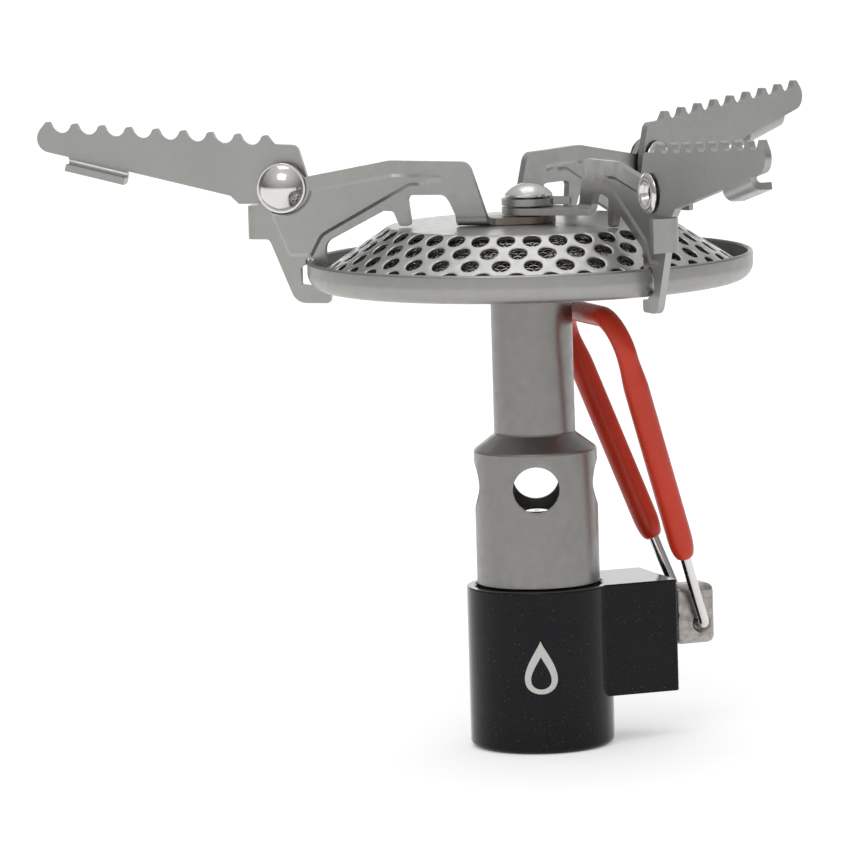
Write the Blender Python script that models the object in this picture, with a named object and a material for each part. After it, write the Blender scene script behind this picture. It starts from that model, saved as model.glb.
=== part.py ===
"""Canister stove: an upright gas burner with a side valve, a wire handle and three folding pot supports.

Frame: +Z up, origin at the centre of the valve body's underside, +X along the valve spindle.
Units: metres in Blender. The constants below are in millimetres and are scaled where meshes are made.
"""

from math import acos, asin, atan2, cos, hypot, pi, radians, sin, tan

import bmesh
import bpy
from mathutils import Matrix, Vector

MM = 0.001
GAP = 0.3                      # clearance that stands for contact between two pieces

# --- driving dimensions, millimetres ---------------------------------------------------------------

# valve body
BODY_R = 10.0
BODY_TOP = 22.5
BODY_FOOT_EDGE = 1.0
BLOCK_END_X = 17.9
BLOCK_HALF_Y = 6.9
BLOCK_BOTTOM = 6.9
BLOCK_CHAMFER = 0.6
SOCKET_R = 5.55                # 7/16 inch canister thread, taken at its major diameter
SOCKET_DEPTH = 9.5
SEAL_R = 0.9
SEAL_RING_R = 4.35
PIN_TIP = 5.0
PIN_FLANGE_R = 1.9
PIN_TOP = 10.8
FILTER_BORE_R = 2.2
FILTER_BORE_TOP = 13.3
FILTER_FOOT = 11.1

# valve spindle, gas ways and jet
VALVE_Z = 16.6
SPINDLE_R = 1.8
SPINDLE_BORE_R = 2.1
SEAT_X = 4.5
SEAT_BORE_R = 0.9
PACKING_BORE_R = 3.2
PACKING_X = 12.0
PACKING_BORE_END = 19.0
NUT_FLANGE_R = 3.9
NUT_X = (14.4, 18.5, 19.2)     # inner end, seat of the flange, outer end
NEEDLE_TIP = 4.0
NEEDLE_END = 21.2
GAS_WAY_R = 0.6
HOLDER_SEAT = 17.9
HOLDER_SEAT_R = 2.6
HOLDER_FLANGE_R = 3.6
HOLDER_FLANGE_TOP = 22.4
HOLDER_R = 2.9
HOLDER_TOP = 29.0
HOLDER_BORE_R = 0.7
JET_R = 2.5
JET_SHANK_R = 1.6
JET_FOOT = 26.0
JET_TIP = 32.7
JET_HOLE_R = 0.35

# mixing tube and stem
TUBE_R = 8.5
TUBE_WALL = 0.8
TUBE_TOP = 41.4
STEM_R = 5.6
STEM_WALL = 0.7
STEM_FOOT = 43.6
NECK_R = 5.0
NECK_BORE_R = 4.2
NECK_TOP = 67.0
RECESS_FLOOR = 19.5
PORT_R = 3.2
PORT_Z = 36.5
PORT_ANGLE = -21.0

# burner
POST_FOOT = 58.6
POST_TOP = 71.5
POST_R = 2.6
POST_RING_R = (3.9, 4.6)       # inner, outer
POST_RING_Z = (59.0, 62.3)
BOWL_R = 30.7
BOWL_WALL = 0.7
BOWL_BOTTOM = 64.3
BOWL_RIM = 68.3
BOWL_CORNER = 2.8
BOWL_NUT_R = 7.6
BOWL_NUT_H = 1.5
CAP_TOP = 72.5
CAP_EDGE_R = 28.9
CAP_EDGE_Z = 66.46
CAP_SKIRT = 0.7
CAP_SLOPE = 0.65
CAP_WALL = 0.7
CAP_FLAT_R = 19.3
FLAME_ROWS = 4
FLAME_PORTS = 36
FLAME_PORT_R = 1.2
FLAME_ROW_PITCH = 2.25
FLAME_FIRST_ROW_R = 20.4
SCREEN_INNER_R = 17.0
SCREEN_WALL = 0.4

# arms and their stack on the centre screw
SHEET = 0.95
RING_R = 3.7
SCREW_R = 1.4
SCREW_FOOT = 61.4
SCREW_HOLE_R = 1.75
SCREW_HEAD_R = 3.3
SCREW_HEAD_H = 1.9
RING_STEP = 1.2                # one sheet plus the gap between two rings
FIRST_RING_Z = 72.75
WEB_N = 5.33                   # outer face of an arm's web, measured across from the radial line
BEND_R = 1.5                   # outer radius of the sheet's bends
PLATE_S = 38.9                 # outer face of the stop plate: distance out along the arm
PLATE_Z = (71.1, 75.65)
PLATE_INNER_N = 1.0
LUG_R = 6.2                    # stop lug on the back arm's ring
BLADE_N = 3.15                 # far face of a blade
RIVET_S = 33.4                 # pivot of a blade: distance out along the arm
RIVET_Z = 78.65
RIVET_HOLE_R = 1.65
RIVET_HEAD_R = 3.3
RIVET_HEAD_H = 2.05
RIVET_RIM = 0.3
RIVET_TAIL_R = 2.4
RIVET_PLAY = 0.25              # gap under the head and the tail
FLANGE_R = 1.7                 # curled flange under a blade's tip
FLANGE_REACH = 3.1
FLANGE_INNER = (56.3, 80.7)
FLANGE_OUTER = (64.9, 82.8)
TOOTH_COUNT = 9
TOOTH_FIRST = (36.1, 85.4)
TOOTH_LAST = (67.3, 87.65)
TOOTH_DEPTH = 1.25
TOOTH_HALF_TIP = 0.3

# name of the support, direction of the arm in degrees, place of its ring in the stack
SUPPORTS = (("fixed", 146.8, 0), ("front", -87.6, 1), ("back", 30.4, 2))

# valve head and handle
HEAD_X = (19.5, 24.7)
HEAD_Z = (12.4, 20.8)
HEAD_HALF_Y = 2.2
HEAD_CHAMFER = 0.45
PIVOT_X = 23.4
PIVOT_Z = 15.3
WIRE_R = 0.75
LOOP_TILT = 19.0               # lean of the standing loop towards the stem, degrees
LOOP_FOOT_HALF = 3.1
LOOP_SPREAD = 0.172            # widening of each leg per millimetre of height
LOOP_HEIGHT = 46.9
LOOP_CORNER = 4.6
SLEEVE_R = 1.45
SLEEVE_END_R = 1.15
SLEEVE_END_TAPER = 0.9
SLEEVE_START = (10.4, 12.2)    # height on the loop where the sleeve starts: front leg, rear leg


# --- finishes --------------------------------------------------------------------------------------

FINISHES = {
    "black_anodised": ((0.018, 0.018, 0.02), 0.42, 0.6),
    "machined_steel": ((0.50, 0.49, 0.47), 0.34, 1.0),
    "polished_steel": ((0.72, 0.71, 0.69), 0.14, 1.0),
    "satin_alloy": ((0.42, 0.42, 0.41), 0.38, 1.0),
    "cap_alloy": ((0.56, 0.56, 0.55), 0.36, 1.0),
    "arm_sheet": ((0.36, 0.36, 0.345), 0.40, 1.0),
    "red_vinyl": ((0.62, 0.05, 0.015), 0.28, 0.0),
    "brass": ((0.70, 0.52, 0.24), 0.25, 1.0),
    "sintered_bronze": ((0.42, 0.30, 0.18), 0.7, 1.0),
    "black_rubber": ((0.02, 0.02, 0.02), 0.6, 0.0),
    "screen_wire": ((0.55, 0.54, 0.52), 0.3, 1.0),
}


def finish(name):
    """Return the material of that name, made on first use."""
    found = bpy.data.materials.get(name)
    if found:
        return found
    colour, roughness, metallic = FINISHES[name]
    made = bpy.data.materials.new(name)
    made.use_nodes = True
    shader = made.node_tree.nodes["Principled BSDF"]
    shader.inputs["Base Color"].default_value = (*colour, 1.0)
    shader.inputs["Roughness"].default_value = roughness
    shader.inputs["Metallic"].default_value = metallic
    return made


# --- shape helpers ---------------------------------------------------------------------------------

def add_object(name, bm, finish_name=None, parent=None, matrix=None):
    """Turn a bmesh drawn in millimetres into an object; without a finish it is a hidden cutter."""
    bmesh.ops.scale(bm, vec=(MM, MM, MM), verts=bm.verts)
    mesh = bpy.data.meshes.new(name)
    bm.to_mesh(mesh)
    bm.free()
    obj = bpy.data.objects.new(name, mesh)
    bpy.context.scene.collection.objects.link(obj)
    obj.parent = parent
    if matrix is not None:
        obj.matrix_local = matrix
    if finish_name is None:
        obj.hide_render = True
        obj.display_type = 'WIRE'
    else:
        mesh.materials.append(finish(finish_name))
        mesh.shade_smooth()
        mesh.set_sharp_from_angle(angle=radians(35))
    return obj


def turned(profile, segments, ring=False):
    """Spin a profile of (radius, height) points about Z; ring closes a profile that misses the axis."""
    bm = bmesh.new()
    points = [bm.verts.new((r, 0, z)) for r, z in profile]
    edges = [bm.edges.new(pair) for pair in zip(points, points[1:])]
    if ring:
        edges.append(bm.edges.new((points[-1], points[0])))
    bmesh.ops.spin(bm, geom=points + edges, cent=(0, 0, 0), axis=(0, 0, 1), angle=2 * pi, steps=segments)
    bmesh.ops.remove_doubles(bm, verts=bm.verts, dist=0.001)
    bmesh.ops.recalc_face_normals(bm, faces=bm.faces)
    return bm


def rod(radius, start, end, segments):
    """A plain cylinder between two heights on Z."""
    return turned([(0, start), (radius, start), (radius, end), (0, end)], segments)


def box(low, high):
    """A block between two corners."""
    bm = bmesh.new()
    size = [b - a for a, b in zip(low, high)]
    centre = [(a + b) / 2 for a, b in zip(low, high)]
    bmesh.ops.create_cube(bm, size=1.0, matrix=Matrix.Translation(centre) @ Matrix.Diagonal((*size, 1.0)))
    return bm


def arc(centre, radius, start, end, steps):
    """Points along a circle from one angle to another, in degrees."""
    turns = (start + (end - start) * i / steps for i in range(steps + 1))
    return [(centre[0] + radius * cos(radians(a)), centre[1] + radius * sin(radians(a))) for a in turns]


def bevel(obj, width, segments=1):
    """Soften the sharp edges of an object; the width is in millimetres."""
    modifier = obj.modifiers.new("edges", 'BEVEL')
    modifier.width = width * MM
    modifier.segments = segments
    modifier.limit_method = 'ANGLE'
    modifier.angle_limit = radians(40)


def thicken(obj, thickness):
    """Give a surface a wall on the side away from its normals; the thickness is in millimetres."""
    modifier = obj.modifiers.new("sheet", 'SOLIDIFY')
    modifier.thickness = thickness * MM
    modifier.offset = -1.0
    modifier.use_even_offset = True


def combine(obj, tool, operation):
    """Add or remove the tool's shape."""
    modifier = obj.modifiers.new(tool.name, 'BOOLEAN')
    modifier.operation = operation
    modifier.solver = 'EXACT'
    modifier.object = tool


def empty(name, place, turn_z=0.0, parent=None):
    """A parent on a joint's axis; the place is in millimetres."""
    obj = bpy.data.objects.new(name, None)
    obj.empty_display_size = 0.01
    bpy.context.scene.collection.objects.link(obj)
    obj.parent = parent
    obj.location = [v * MM for v in place]
    obj.rotation_euler = (0, 0, radians(turn_z))
    return obj


ALONG_X = Matrix.Translation((0, 0, VALVE_Z * MM)) @ Matrix.Rotation(radians(90), 4, 'Y')


# --- valve -----------------------------------------------------------------------------------------

def valve_body():
    """Round boss with the side block, cut by the socket, the gas ways and the valve bore."""
    edge = arc((BODY_R - BODY_FOOT_EDGE, BODY_FOOT_EDGE), BODY_FOOT_EDGE, -90, 0, 2)
    outer = [(0, 0)] + edge + [(BODY_R, BODY_TOP), (0, BODY_TOP)]
    body = add_object("valve_body", turned(outer, 40), "black_anodised")

    low = (BODY_R / 2, -BLOCK_HALF_Y, BLOCK_BOTTOM)
    high = (BLOCK_END_X, BLOCK_HALF_Y, BODY_TOP)
    block = add_object("block_shape", box(low, high))
    bevel(block, BLOCK_CHAMFER)
    combine(body, block, 'UNION')

    past_top = BODY_TOP + 1.0
    recess_r = TUBE_R + GAP
    socket = [(0, -1.0), (SOCKET_R, -1.0), (SOCKET_R, SOCKET_DEPTH), (FILTER_BORE_R, SOCKET_DEPTH),
              (FILTER_BORE_R, FILTER_BORE_TOP), (0, FILTER_BORE_TOP)]
    recess = [(0, HOLDER_SEAT), (HOLDER_SEAT_R, HOLDER_SEAT), (HOLDER_SEAT_R, RECESS_FLOOR),
              (recess_r, RECESS_FLOOR), (recess_r, past_top), (0, past_top)]
    valve_bore = [(0, -0.2), (SEAT_BORE_R, -0.2), (SEAT_BORE_R, SEAT_X), (SPINDLE_BORE_R, SEAT_X),
                  (SPINDLE_BORE_R, PACKING_X), (PACKING_BORE_R, PACKING_X),
                  (PACKING_BORE_R, PACKING_BORE_END), (0, PACKING_BORE_END)]
    combine(body, add_object("socket_cutter", turned(socket, 32)), 'DIFFERENCE')
    combine(body, add_object("recess_cutter", turned(recess, 40)), 'DIFFERENCE')
    combine(body, add_object("valve_bore_cutter", turned(valve_bore, 20), matrix=ALONG_X), 'DIFFERENCE')

    # gas climbs from the filter to the spindle bore, and from the seat up to the jet post
    riser = add_object("gas_riser_cutter", rod(GAS_WAY_R, VALVE_Z, HOLDER_SEAT + GAP, 10))
    combine(body, riser, 'DIFFERENCE')
    climb = Matrix.Translation((0.5 * MM, 0, 12.6 * MM)) @ Matrix.Rotation(radians(66), 4, 'Y')
    inlet = add_object("gas_inlet_cutter", rod(GAS_WAY_R, 0, BLOCK_BOTTOM, 10), matrix=climb)
    combine(body, inlet, 'DIFFERENCE')


def socket_fittings():
    """Seal, hollow pin and filter at the top of the canister socket."""
    section = arc((SEAL_RING_R, SOCKET_DEPTH - GAP - SEAL_R), SEAL_R, 0, 315, 7)
    add_object("canister_seal", turned(section, 24, ring=True), "black_rubber")
    flange = SOCKET_DEPTH - GAP
    pin = [(0.4, PIN_TIP), (1.0, PIN_TIP), (1.0, flange), (PIN_FLANGE_R, flange), (PIN_FLANGE_R, PIN_TOP),
           (0.4, PIN_TOP)]
    add_object("valve_pin", turned(pin, 16, ring=True), "brass")
    filter_block = rod(FILTER_BORE_R - GAP, FILTER_FOOT, FILTER_BORE_TOP - GAP, 16)
    add_object("gas_filter", filter_block, "sintered_bronze")


def jet_parts():
    """Post that screws into the valve body, and the jet in its top."""
    foot = HOLDER_SEAT + GAP
    shank = HOLDER_SEAT_R - GAP
    flange = RECESS_FLOOR + GAP
    counterbore = JET_SHANK_R + GAP
    holder = [(HOLDER_BORE_R, foot), (shank, foot), (shank, flange), (HOLDER_FLANGE_R, flange),
              (HOLDER_FLANGE_R, HOLDER_FLANGE_TOP), (HOLDER_R, HOLDER_FLANGE_TOP), (HOLDER_R, HOLDER_TOP),
              (counterbore, HOLDER_TOP), (counterbore, JET_FOOT - GAP), (HOLDER_BORE_R, JET_FOOT - GAP)]
    add_object("jet_holder", turned(holder, 18, ring=True), "brass")
    collar = HOLDER_TOP + GAP
    jet = [(JET_HOLE_R, JET_FOOT), (JET_SHANK_R, JET_FOOT), (JET_SHANK_R, collar), (JET_R, collar),
           (JET_R, JET_TIP - 1.3), (JET_R - 1.0, JET_TIP), (JET_HOLE_R, JET_TIP)]
    add_object("jet", turned(jet, 18, ring=True), "brass")


def valve_spindle(spindle_axis):
    """Cone-tipped needle, its packing, and the drilled head that the handle hangs on."""
    bore = SPINDLE_BORE_R
    seal = arc((2.5, PACKING_X + 1.0), 0.4, 0, 300, 5)
    add_object("spindle_seal", turned(seal, 20, ring=True), "black_rubber", matrix=ALONG_X)
    inner_end, flange, outer_end = NUT_X
    thread = PACKING_BORE_R - GAP
    nut = [(bore, inner_end), (thread, inner_end), (thread, flange), (NUT_FLANGE_R, flange),
           (NUT_FLANGE_R, outer_end), (bore, outer_end)]
    add_object("gland_nut", turned(nut, 24, ring=True), "black_anodised", matrix=ALONG_X)

    along = Matrix.Rotation(radians(90), 4, 'Y')
    needle = [(0, NEEDLE_TIP), (0.4, NEEDLE_TIP + 0.5), (SPINDLE_R, NEEDLE_TIP + 2.6),
              (SPINDLE_R, NEEDLE_END), (0, NEEDLE_END)]
    add_object("needle_spindle", turned(needle, 20), "machined_steel", spindle_axis, along)

    low = (HEAD_X[0], -HEAD_HALF_Y, HEAD_Z[0] - VALVE_Z)
    high = (HEAD_X[1], HEAD_HALF_Y, HEAD_Z[1] - VALVE_Z)
    head = add_object("valve_head", box(low, high), "machined_steel", spindle_axis)
    bevel(head, HEAD_CHAMFER)
    shank = rod(bore, HEAD_X[0] - 1.0, NEEDLE_END + GAP, 20)
    socket = add_object("head_socket_cutter", shank, parent=spindle_axis, matrix=along)
    combine(head, socket, 'DIFFERENCE')
    place = Matrix.Translation((PIVOT_X * MM, 0, (PIVOT_Z - VALVE_Z) * MM))
    across = place @ Matrix.Rotation(radians(90), 4, 'X')
    pivot = add_object("head_pivot_cutter", rod(WIRE_R + GAP, -5, 5, 16), parent=spindle_axis, matrix=across)
    combine(head, pivot, 'DIFFERENCE')


# --- handle ----------------------------------------------------------------------------------------

def loop_half(start_height):
    """Centre line of one leg and half the top bar, as (half width, height) from that height up."""
    lean = atan2(LOOP_SPREAD, 1)
    top_half = LOOP_FOOT_HALF + LOOP_SPREAD * LOOP_HEIGHT
    reach = LOOP_CORNER * tan((pi / 2 + lean) / 2)
    centre = (top_half - reach, LOOP_HEIGHT - LOOP_CORNER)
    start = (LOOP_FOOT_HALF + LOOP_SPREAD * start_height, start_height)
    bend = arc(centre, LOOP_CORNER, -lean * 180 / pi, 90, 5)
    return [start] + bend + [(0, LOOP_HEIGHT)]


def wire_route():
    """Both legs of the wire, each turned in to the pivot hole, where the two ends meet."""
    foot = [(0.35, 0), (2.3, 0), (2.95, 0.25), (LOOP_FOOT_HALF + LOOP_SPREAD * 1.1, 1.1)]
    half = foot + loop_half(4.0)
    return half[:-1] + [(-y, h) for y, h in reversed(half)]


def sleeve_route():
    """The part of the loop that the sleeve covers, with a second point where each end's taper stops."""
    halves = []
    for start in SLEEVE_START:
        taper_top = loop_half(start + SLEEVE_END_TAPER)
        halves.append(loop_half(start)[:1] + taper_top[:-1])
    front, rear = halves
    return [(-y, h) for y, h in front] + rear[::-1]


def swept(route, sections, sides):
    """Carry round sections along a route in the loop's plane.

    route is a list of (y, height); sections holds one list of radii per wall, outside first. One wall
    makes a solid rod; two walls make a tube.
    """
    bm = bmesh.new()
    points = [Vector((0, y, h)) for y, h in route]
    walls = []
    for radii in sections:
        rings = []
        for i, point in enumerate(points):
            before = points[max(i - 1, 0)]
            after = points[min(i + 1, len(points) - 1)]
            tangent = (after - before).normalized()
            normal = Vector((0, -tangent.z, tangent.y))
            ring = []
            for k in range(sides):
                a = 2 * pi * k / sides
                ring.append(bm.verts.new(point + radii[i] * (cos(a) * normal + sin(a) * Vector((1, 0, 0)))))
            rings.append(ring)
        for low, high in zip(rings, rings[1:]):
            for k in range(sides):
                n = (k + 1) % sides
                bm.faces.new((low[k], low[n], high[n], high[k]))
        walls.append(rings)
    for end in (0, -1):
        if len(walls) == 1:
            bm.faces.new(walls[0][end])
        else:
            for k in range(sides):
                n = (k + 1) % sides
                bm.faces.new((walls[0][end][k], walls[0][end][n], walls[1][end][n], walls[1][end][k]))
    bmesh.ops.recalc_face_normals(bm, faces=bm.faces)
    return bm


def handle(spindle_axis):
    """Wire loop and its vinyl sleeve, on the pivot through the valve head."""
    pivot = empty("handle_pivot", (PIVOT_X, 0, PIVOT_Z - VALVE_Z), parent=spindle_axis)
    pivot.rotation_euler = (0, -radians(LOOP_TILT), 0)
    route = wire_route()
    wire = swept(route, [[WIRE_R] * len(route)], 8)
    add_object("handle_wire", wire, "polished_steel", pivot)
    route = sleeve_route()
    outside = [SLEEVE_END_R] + [SLEEVE_R] * (len(route) - 2) + [SLEEVE_END_R]
    inside = [WIRE_R + GAP] * len(route)
    add_object("handle_sleeve", swept(route, [outside, inside], 10), "red_vinyl", pivot)


# --- tube, stem and burner -------------------------------------------------------------------------

def mixing_tube():
    """Turned tube with four crossing air ports, a cone and the narrow stem with its neck."""
    bore = TUBE_R - TUBE_WALL
    stem_bore = STEM_R - STEM_WALL
    shoulder = BOWL_BOTTOM - GAP
    profile = [(TUBE_R, RECESS_FLOOR + GAP), (TUBE_R, TUBE_TOP), (STEM_R, STEM_FOOT), (STEM_R, shoulder),
               (NECK_R, shoulder), (NECK_R, NECK_TOP), (NECK_BORE_R, NECK_TOP), (NECK_BORE_R, shoulder - 0.6),
               (stem_bore, shoulder - 0.6), (stem_bore, STEM_FOOT + 0.4), (bore, TUBE_TOP + 0.2),
               (bore, RECESS_FLOOR + GAP)]
    tube = add_object("mixing_tube", turned(profile, 40, ring=True), "satin_alloy")
    for k in range(2):
        turn = Matrix.Rotation(radians(PORT_ANGLE + 90 * k), 4, 'Z')
        place = Matrix.Translation((0, 0, PORT_Z * MM)) @ turn @ Matrix.Rotation(radians(90), 4, 'Y')
        cutter = add_object(f"air_port_cutter_{k}", rod(PORT_R, -12, 12, 20), matrix=place)
        combine(tube, cutter, 'DIFFERENCE')


def burner_post():
    """Threaded post in the stem: three spokes let the gas pass, and the centre screw holds in its top."""
    inner, outer = POST_RING_R
    foot, top = POST_RING_Z
    ring = [(inner, foot), (outer, foot), (outer, top), (inner, top)]
    bore = SCREW_R + GAP
    bore_floor = SCREW_FOOT - 0.4
    hub = [(0, POST_FOOT), (POST_R - 0.4, POST_FOOT), (POST_R, POST_FOOT + 0.6), (POST_R, POST_TOP),
           (bore, POST_TOP), (bore, bore_floor), (0, bore_floor)]
    post = add_object("burner_post", turned(hub, 20), "satin_alloy")
    outer = add_object("post_ring_shape", turned(ring, 24, ring=True))
    for k in range(3):
        turn = Matrix.Rotation(radians(120 * k), 4, 'Z')
        blank = box((POST_R - 0.5, -0.6, foot + 0.5), (inner + 0.35, 0.6, top - 0.5))
        spoke = add_object(f"post_spoke_shape_{k}", blank, matrix=turn)
        combine(post, spoke, 'UNION')
    combine(post, outer, 'UNION')


def bowl_profile(inset, bottom):
    """Outer or inner line of the bowl, from its floor to its rim."""
    corner = BOWL_CORNER - inset
    centre = (BOWL_R - BOWL_CORNER, BOWL_BOTTOM + BOWL_CORNER)
    return [(NECK_R + GAP, bottom)] + arc(centre, corner, -90, 0, 4) + [(BOWL_R - inset, BOWL_RIM)]


def burner_bowl():
    """Pressed dish on the neck, and the nut that clamps it."""
    outside = bowl_profile(0, BOWL_BOTTOM)
    inside = bowl_profile(BOWL_WALL, BOWL_BOTTOM + BOWL_WALL)
    add_object("burner_bowl", turned(outside + inside[::-1], 48, ring=True), "satin_alloy")
    floor = BOWL_BOTTOM + BOWL_WALL + GAP
    bore = NECK_R + GAP
    nut = [(bore, floor), (BOWL_NUT_R, floor), (BOWL_NUT_R, floor + BOWL_NUT_H), (bore, floor + BOWL_NUT_H)]
    add_object("bowl_nut", turned(nut, 24, ring=True), "satin_alloy")


def cap_height(radius):
    """Height of the cap's outer surface at a radius."""
    return min(CAP_TOP, CAP_EDGE_Z + (CAP_EDGE_R - radius) * CAP_SLOPE)


def burner_cap():
    """Flat-topped cone with staggered rows of flame ports.

    The ports sit in a lattice of diamonds: port k of row i has its centre where k + i is even, and the
    corners of its diamond are the lattice points beside, above and below it, where k + i is odd.
    """
    columns = 2 * FLAME_PORTS
    slope = atan2(CAP_SLOPE, 1)
    bm = bmesh.new()

    def place(radius, angle, up=0.0, side=0.0):
        r = radius - up * cos(slope)
        z = cap_height(radius) + up * sin(slope)
        a = angle + side / radius
        return bm.verts.new((r * cos(a), r * sin(a), z))

    def ring(radius, z=None):
        height = cap_height(radius) if z is None else z
        angles = [2 * pi * k / columns for k in range(columns)]
        return [bm.verts.new((radius * cos(a), radius * sin(a), height)) for a in angles]

    def band(inner, outer):
        for k in range(columns):
            n = (k + 1) % columns
            bm.faces.new((inner[k], outer[k], outer[n], inner[n]))

    rows = []
    for i in range(-1, FLAME_ROWS + 1):
        radius = FLAME_FIRST_ROW_R + i * FLAME_ROW_PITCH
        if i == -1:
            radius = CAP_FLAT_R
        if i == FLAME_ROWS:
            radius = FLAME_FIRST_ROW_R + (i - 0.45) * FLAME_ROW_PITCH
        border = i in (-1, FLAME_ROWS)
        points = {}
        for k in range(columns):
            if border or (k + i) % 2:
                points[k] = place(radius, 2 * pi * k / columns)
        rows.append(points)

    for i in range(FLAME_ROWS):
        radius = FLAME_FIRST_ROW_R + i * FLAME_ROW_PITCH
        for k in range(columns):
            if (k + i) % 2:
                continue
            angle = 2 * pi * k / columns
            right = (k + 1) % columns
            left = (k - 1) % columns
            frame = (rows[i][k], rows[i + 1][right], rows[i + 2][k], rows[i + 1][left])
            port = (place(radius, angle, up=FLAME_PORT_R), place(radius, angle, side=FLAME_PORT_R),
                    place(radius, angle, up=-FLAME_PORT_R), place(radius, angle, side=-FLAME_PORT_R))
            for j in range(4):
                m = (j + 1) % 4
                bm.faces.new((frame[j], port[j], port[m], frame[m]))
    # half diamonds close the lattice along its two borders
    for border, inner, flip in ((0, 1, False), (FLAME_ROWS + 1, FLAME_ROWS, True)):
        for k in range(columns):
            if k in rows[inner]:
                left = rows[border][(k - 1) % columns]
                right = rows[border][(k + 1) % columns]
                middle = rows[border][k]
                for corner in ((left, rows[inner][k], middle), (middle, rows[inner][k], right)):
                    bm.faces.new(corner[::-1] if flip else corner)

    hub = ring(SCREW_HOLE_R)
    band(hub, [rows[0][k] for k in range(columns)])
    edge = ring(CAP_EDGE_R)
    band([rows[-1][k] for k in range(columns)], edge)
    skirt = ring(CAP_EDGE_R, CAP_EDGE_Z - CAP_SKIRT)
    band(edge, skirt)
    bmesh.ops.recalc_face_normals(bm, faces=bm.faces)
    top = max(bm.faces, key=lambda face: face.calc_center_median().z)
    if top.normal.z < 0:
        bmesh.ops.reverse_faces(bm, faces=bm.faces)
    cap = add_object("burner_cap", bm, "cap_alloy")
    thicken(cap, CAP_WALL)


def flame_screen():
    """Thin conical screen close under the ports."""
    drop = CAP_WALL / cos(atan2(CAP_SLOPE, 1)) + GAP + 0.1
    outer = CAP_EDGE_R - CAP_WALL - GAP - 0.3
    top_inner = CAP_TOP - CAP_WALL - GAP - 0.1
    knee = CAP_EDGE_R - (top_inner + drop - CAP_EDGE_Z) / CAP_SLOPE
    upper = [(SCREEN_INNER_R, top_inner), (knee, top_inner), (outer, cap_height(outer) - drop)]
    lower = [(r, z - SCREEN_WALL) for r, z in reversed(upper)]
    add_object("flame_screen", turned(upper + lower, 48, ring=True), "screen_wire")


def centre_screw():
    """Domed screw that clamps the three rings and the cap to the post."""
    seat = FIRST_RING_Z + 2 * RING_STEP + SHEET + 0.2
    rim = 0.35
    rise = SCREW_HEAD_H - rim
    sphere_r = (SCREW_HEAD_R ** 2 + rise ** 2) / (2 * rise)
    low = seat + SCREW_HEAD_H - sphere_r
    first = 90 - asin(SCREW_HEAD_R / sphere_r) * 180 / pi
    dome = arc((0, low), sphere_r, first, 90, 4)
    profile = [(0, SCREW_FOOT), (SCREW_R, SCREW_FOOT), (SCREW_R, seat), (SCREW_HEAD_R, seat)] + dome
    add_object("centre_screw", turned(profile, 24), "polished_steel")


# --- pot supports ----------------------------------------------------------------------------------
# Each support is drawn in its own axes: s runs out along the arm, n across it, z up.

def web_outline(foot):
    """Side view of an arm's web, from the left end of its foot bend round to the right end."""
    raised = foot - FIRST_RING_Z - BEND_R
    left = 4.6 + raised * 0.33
    right = 8.9 + raised * 0.46
    outline = [(left, foot), (6.5, 79.9), (7.0, 81.1), (8.2, 81.65), (18.4, 81.75), (30.5, 79.65)]
    outline += arc((RIVET_S, RIVET_Z), 3.0, 130, -35, 7)
    outline += [(PLATE_S - BEND_R, PLATE_Z[1]), (PLATE_S - BEND_R, PLATE_Z[0]), (35.7, PLATE_Z[0])]
    # hook under the bowl's rim, and the slot that the rim sits in
    outline += [(35.3, 70.5), (32.5, 63.6), (31.9, 62.7), (31.0, 62.3), (27.5, 62.2), (27.1, 62.5)]
    outline += [(27.1, 63.0), (28.5, 63.3), (29.8, 64.1), (31.2, 64.4), (31.2, 67.0), (30.8, 67.5)]
    outline += [(30.7, 68.4), (30.4, 68.65), (29.5, 68.65), (29.15, 68.3), (29.1, 67.05), (28.3, 67.05)]
    outline += [(27.6, 67.6)]
    # arch, finger and window over the cap
    outline += [(27.6, 69.5), (27.2, 70.6), (26.2, 71.4), (20.3, 74.4), (19.1, 74.8), (18.1, 74.6)]
    outline += [(17.5, 73.6), (17.0, 72.85), (15.8, 72.85), (15.3, 73.6), (15.7, 76.3), (15.0, 77.1)]
    outline += [(10.7, 77.1)]
    if raised < 1.5:
        outline += [(9.75, 76.1)]
    outline += [(right, foot)]
    return outline


def tangent_angle(point, radius, side):
    """Angle on a circle about the origin where a line from the point touches it, in degrees."""
    reach = acos(radius / hypot(*point))
    return (atan2(point[1], point[0]) + side * reach) * 180 / pi


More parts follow.
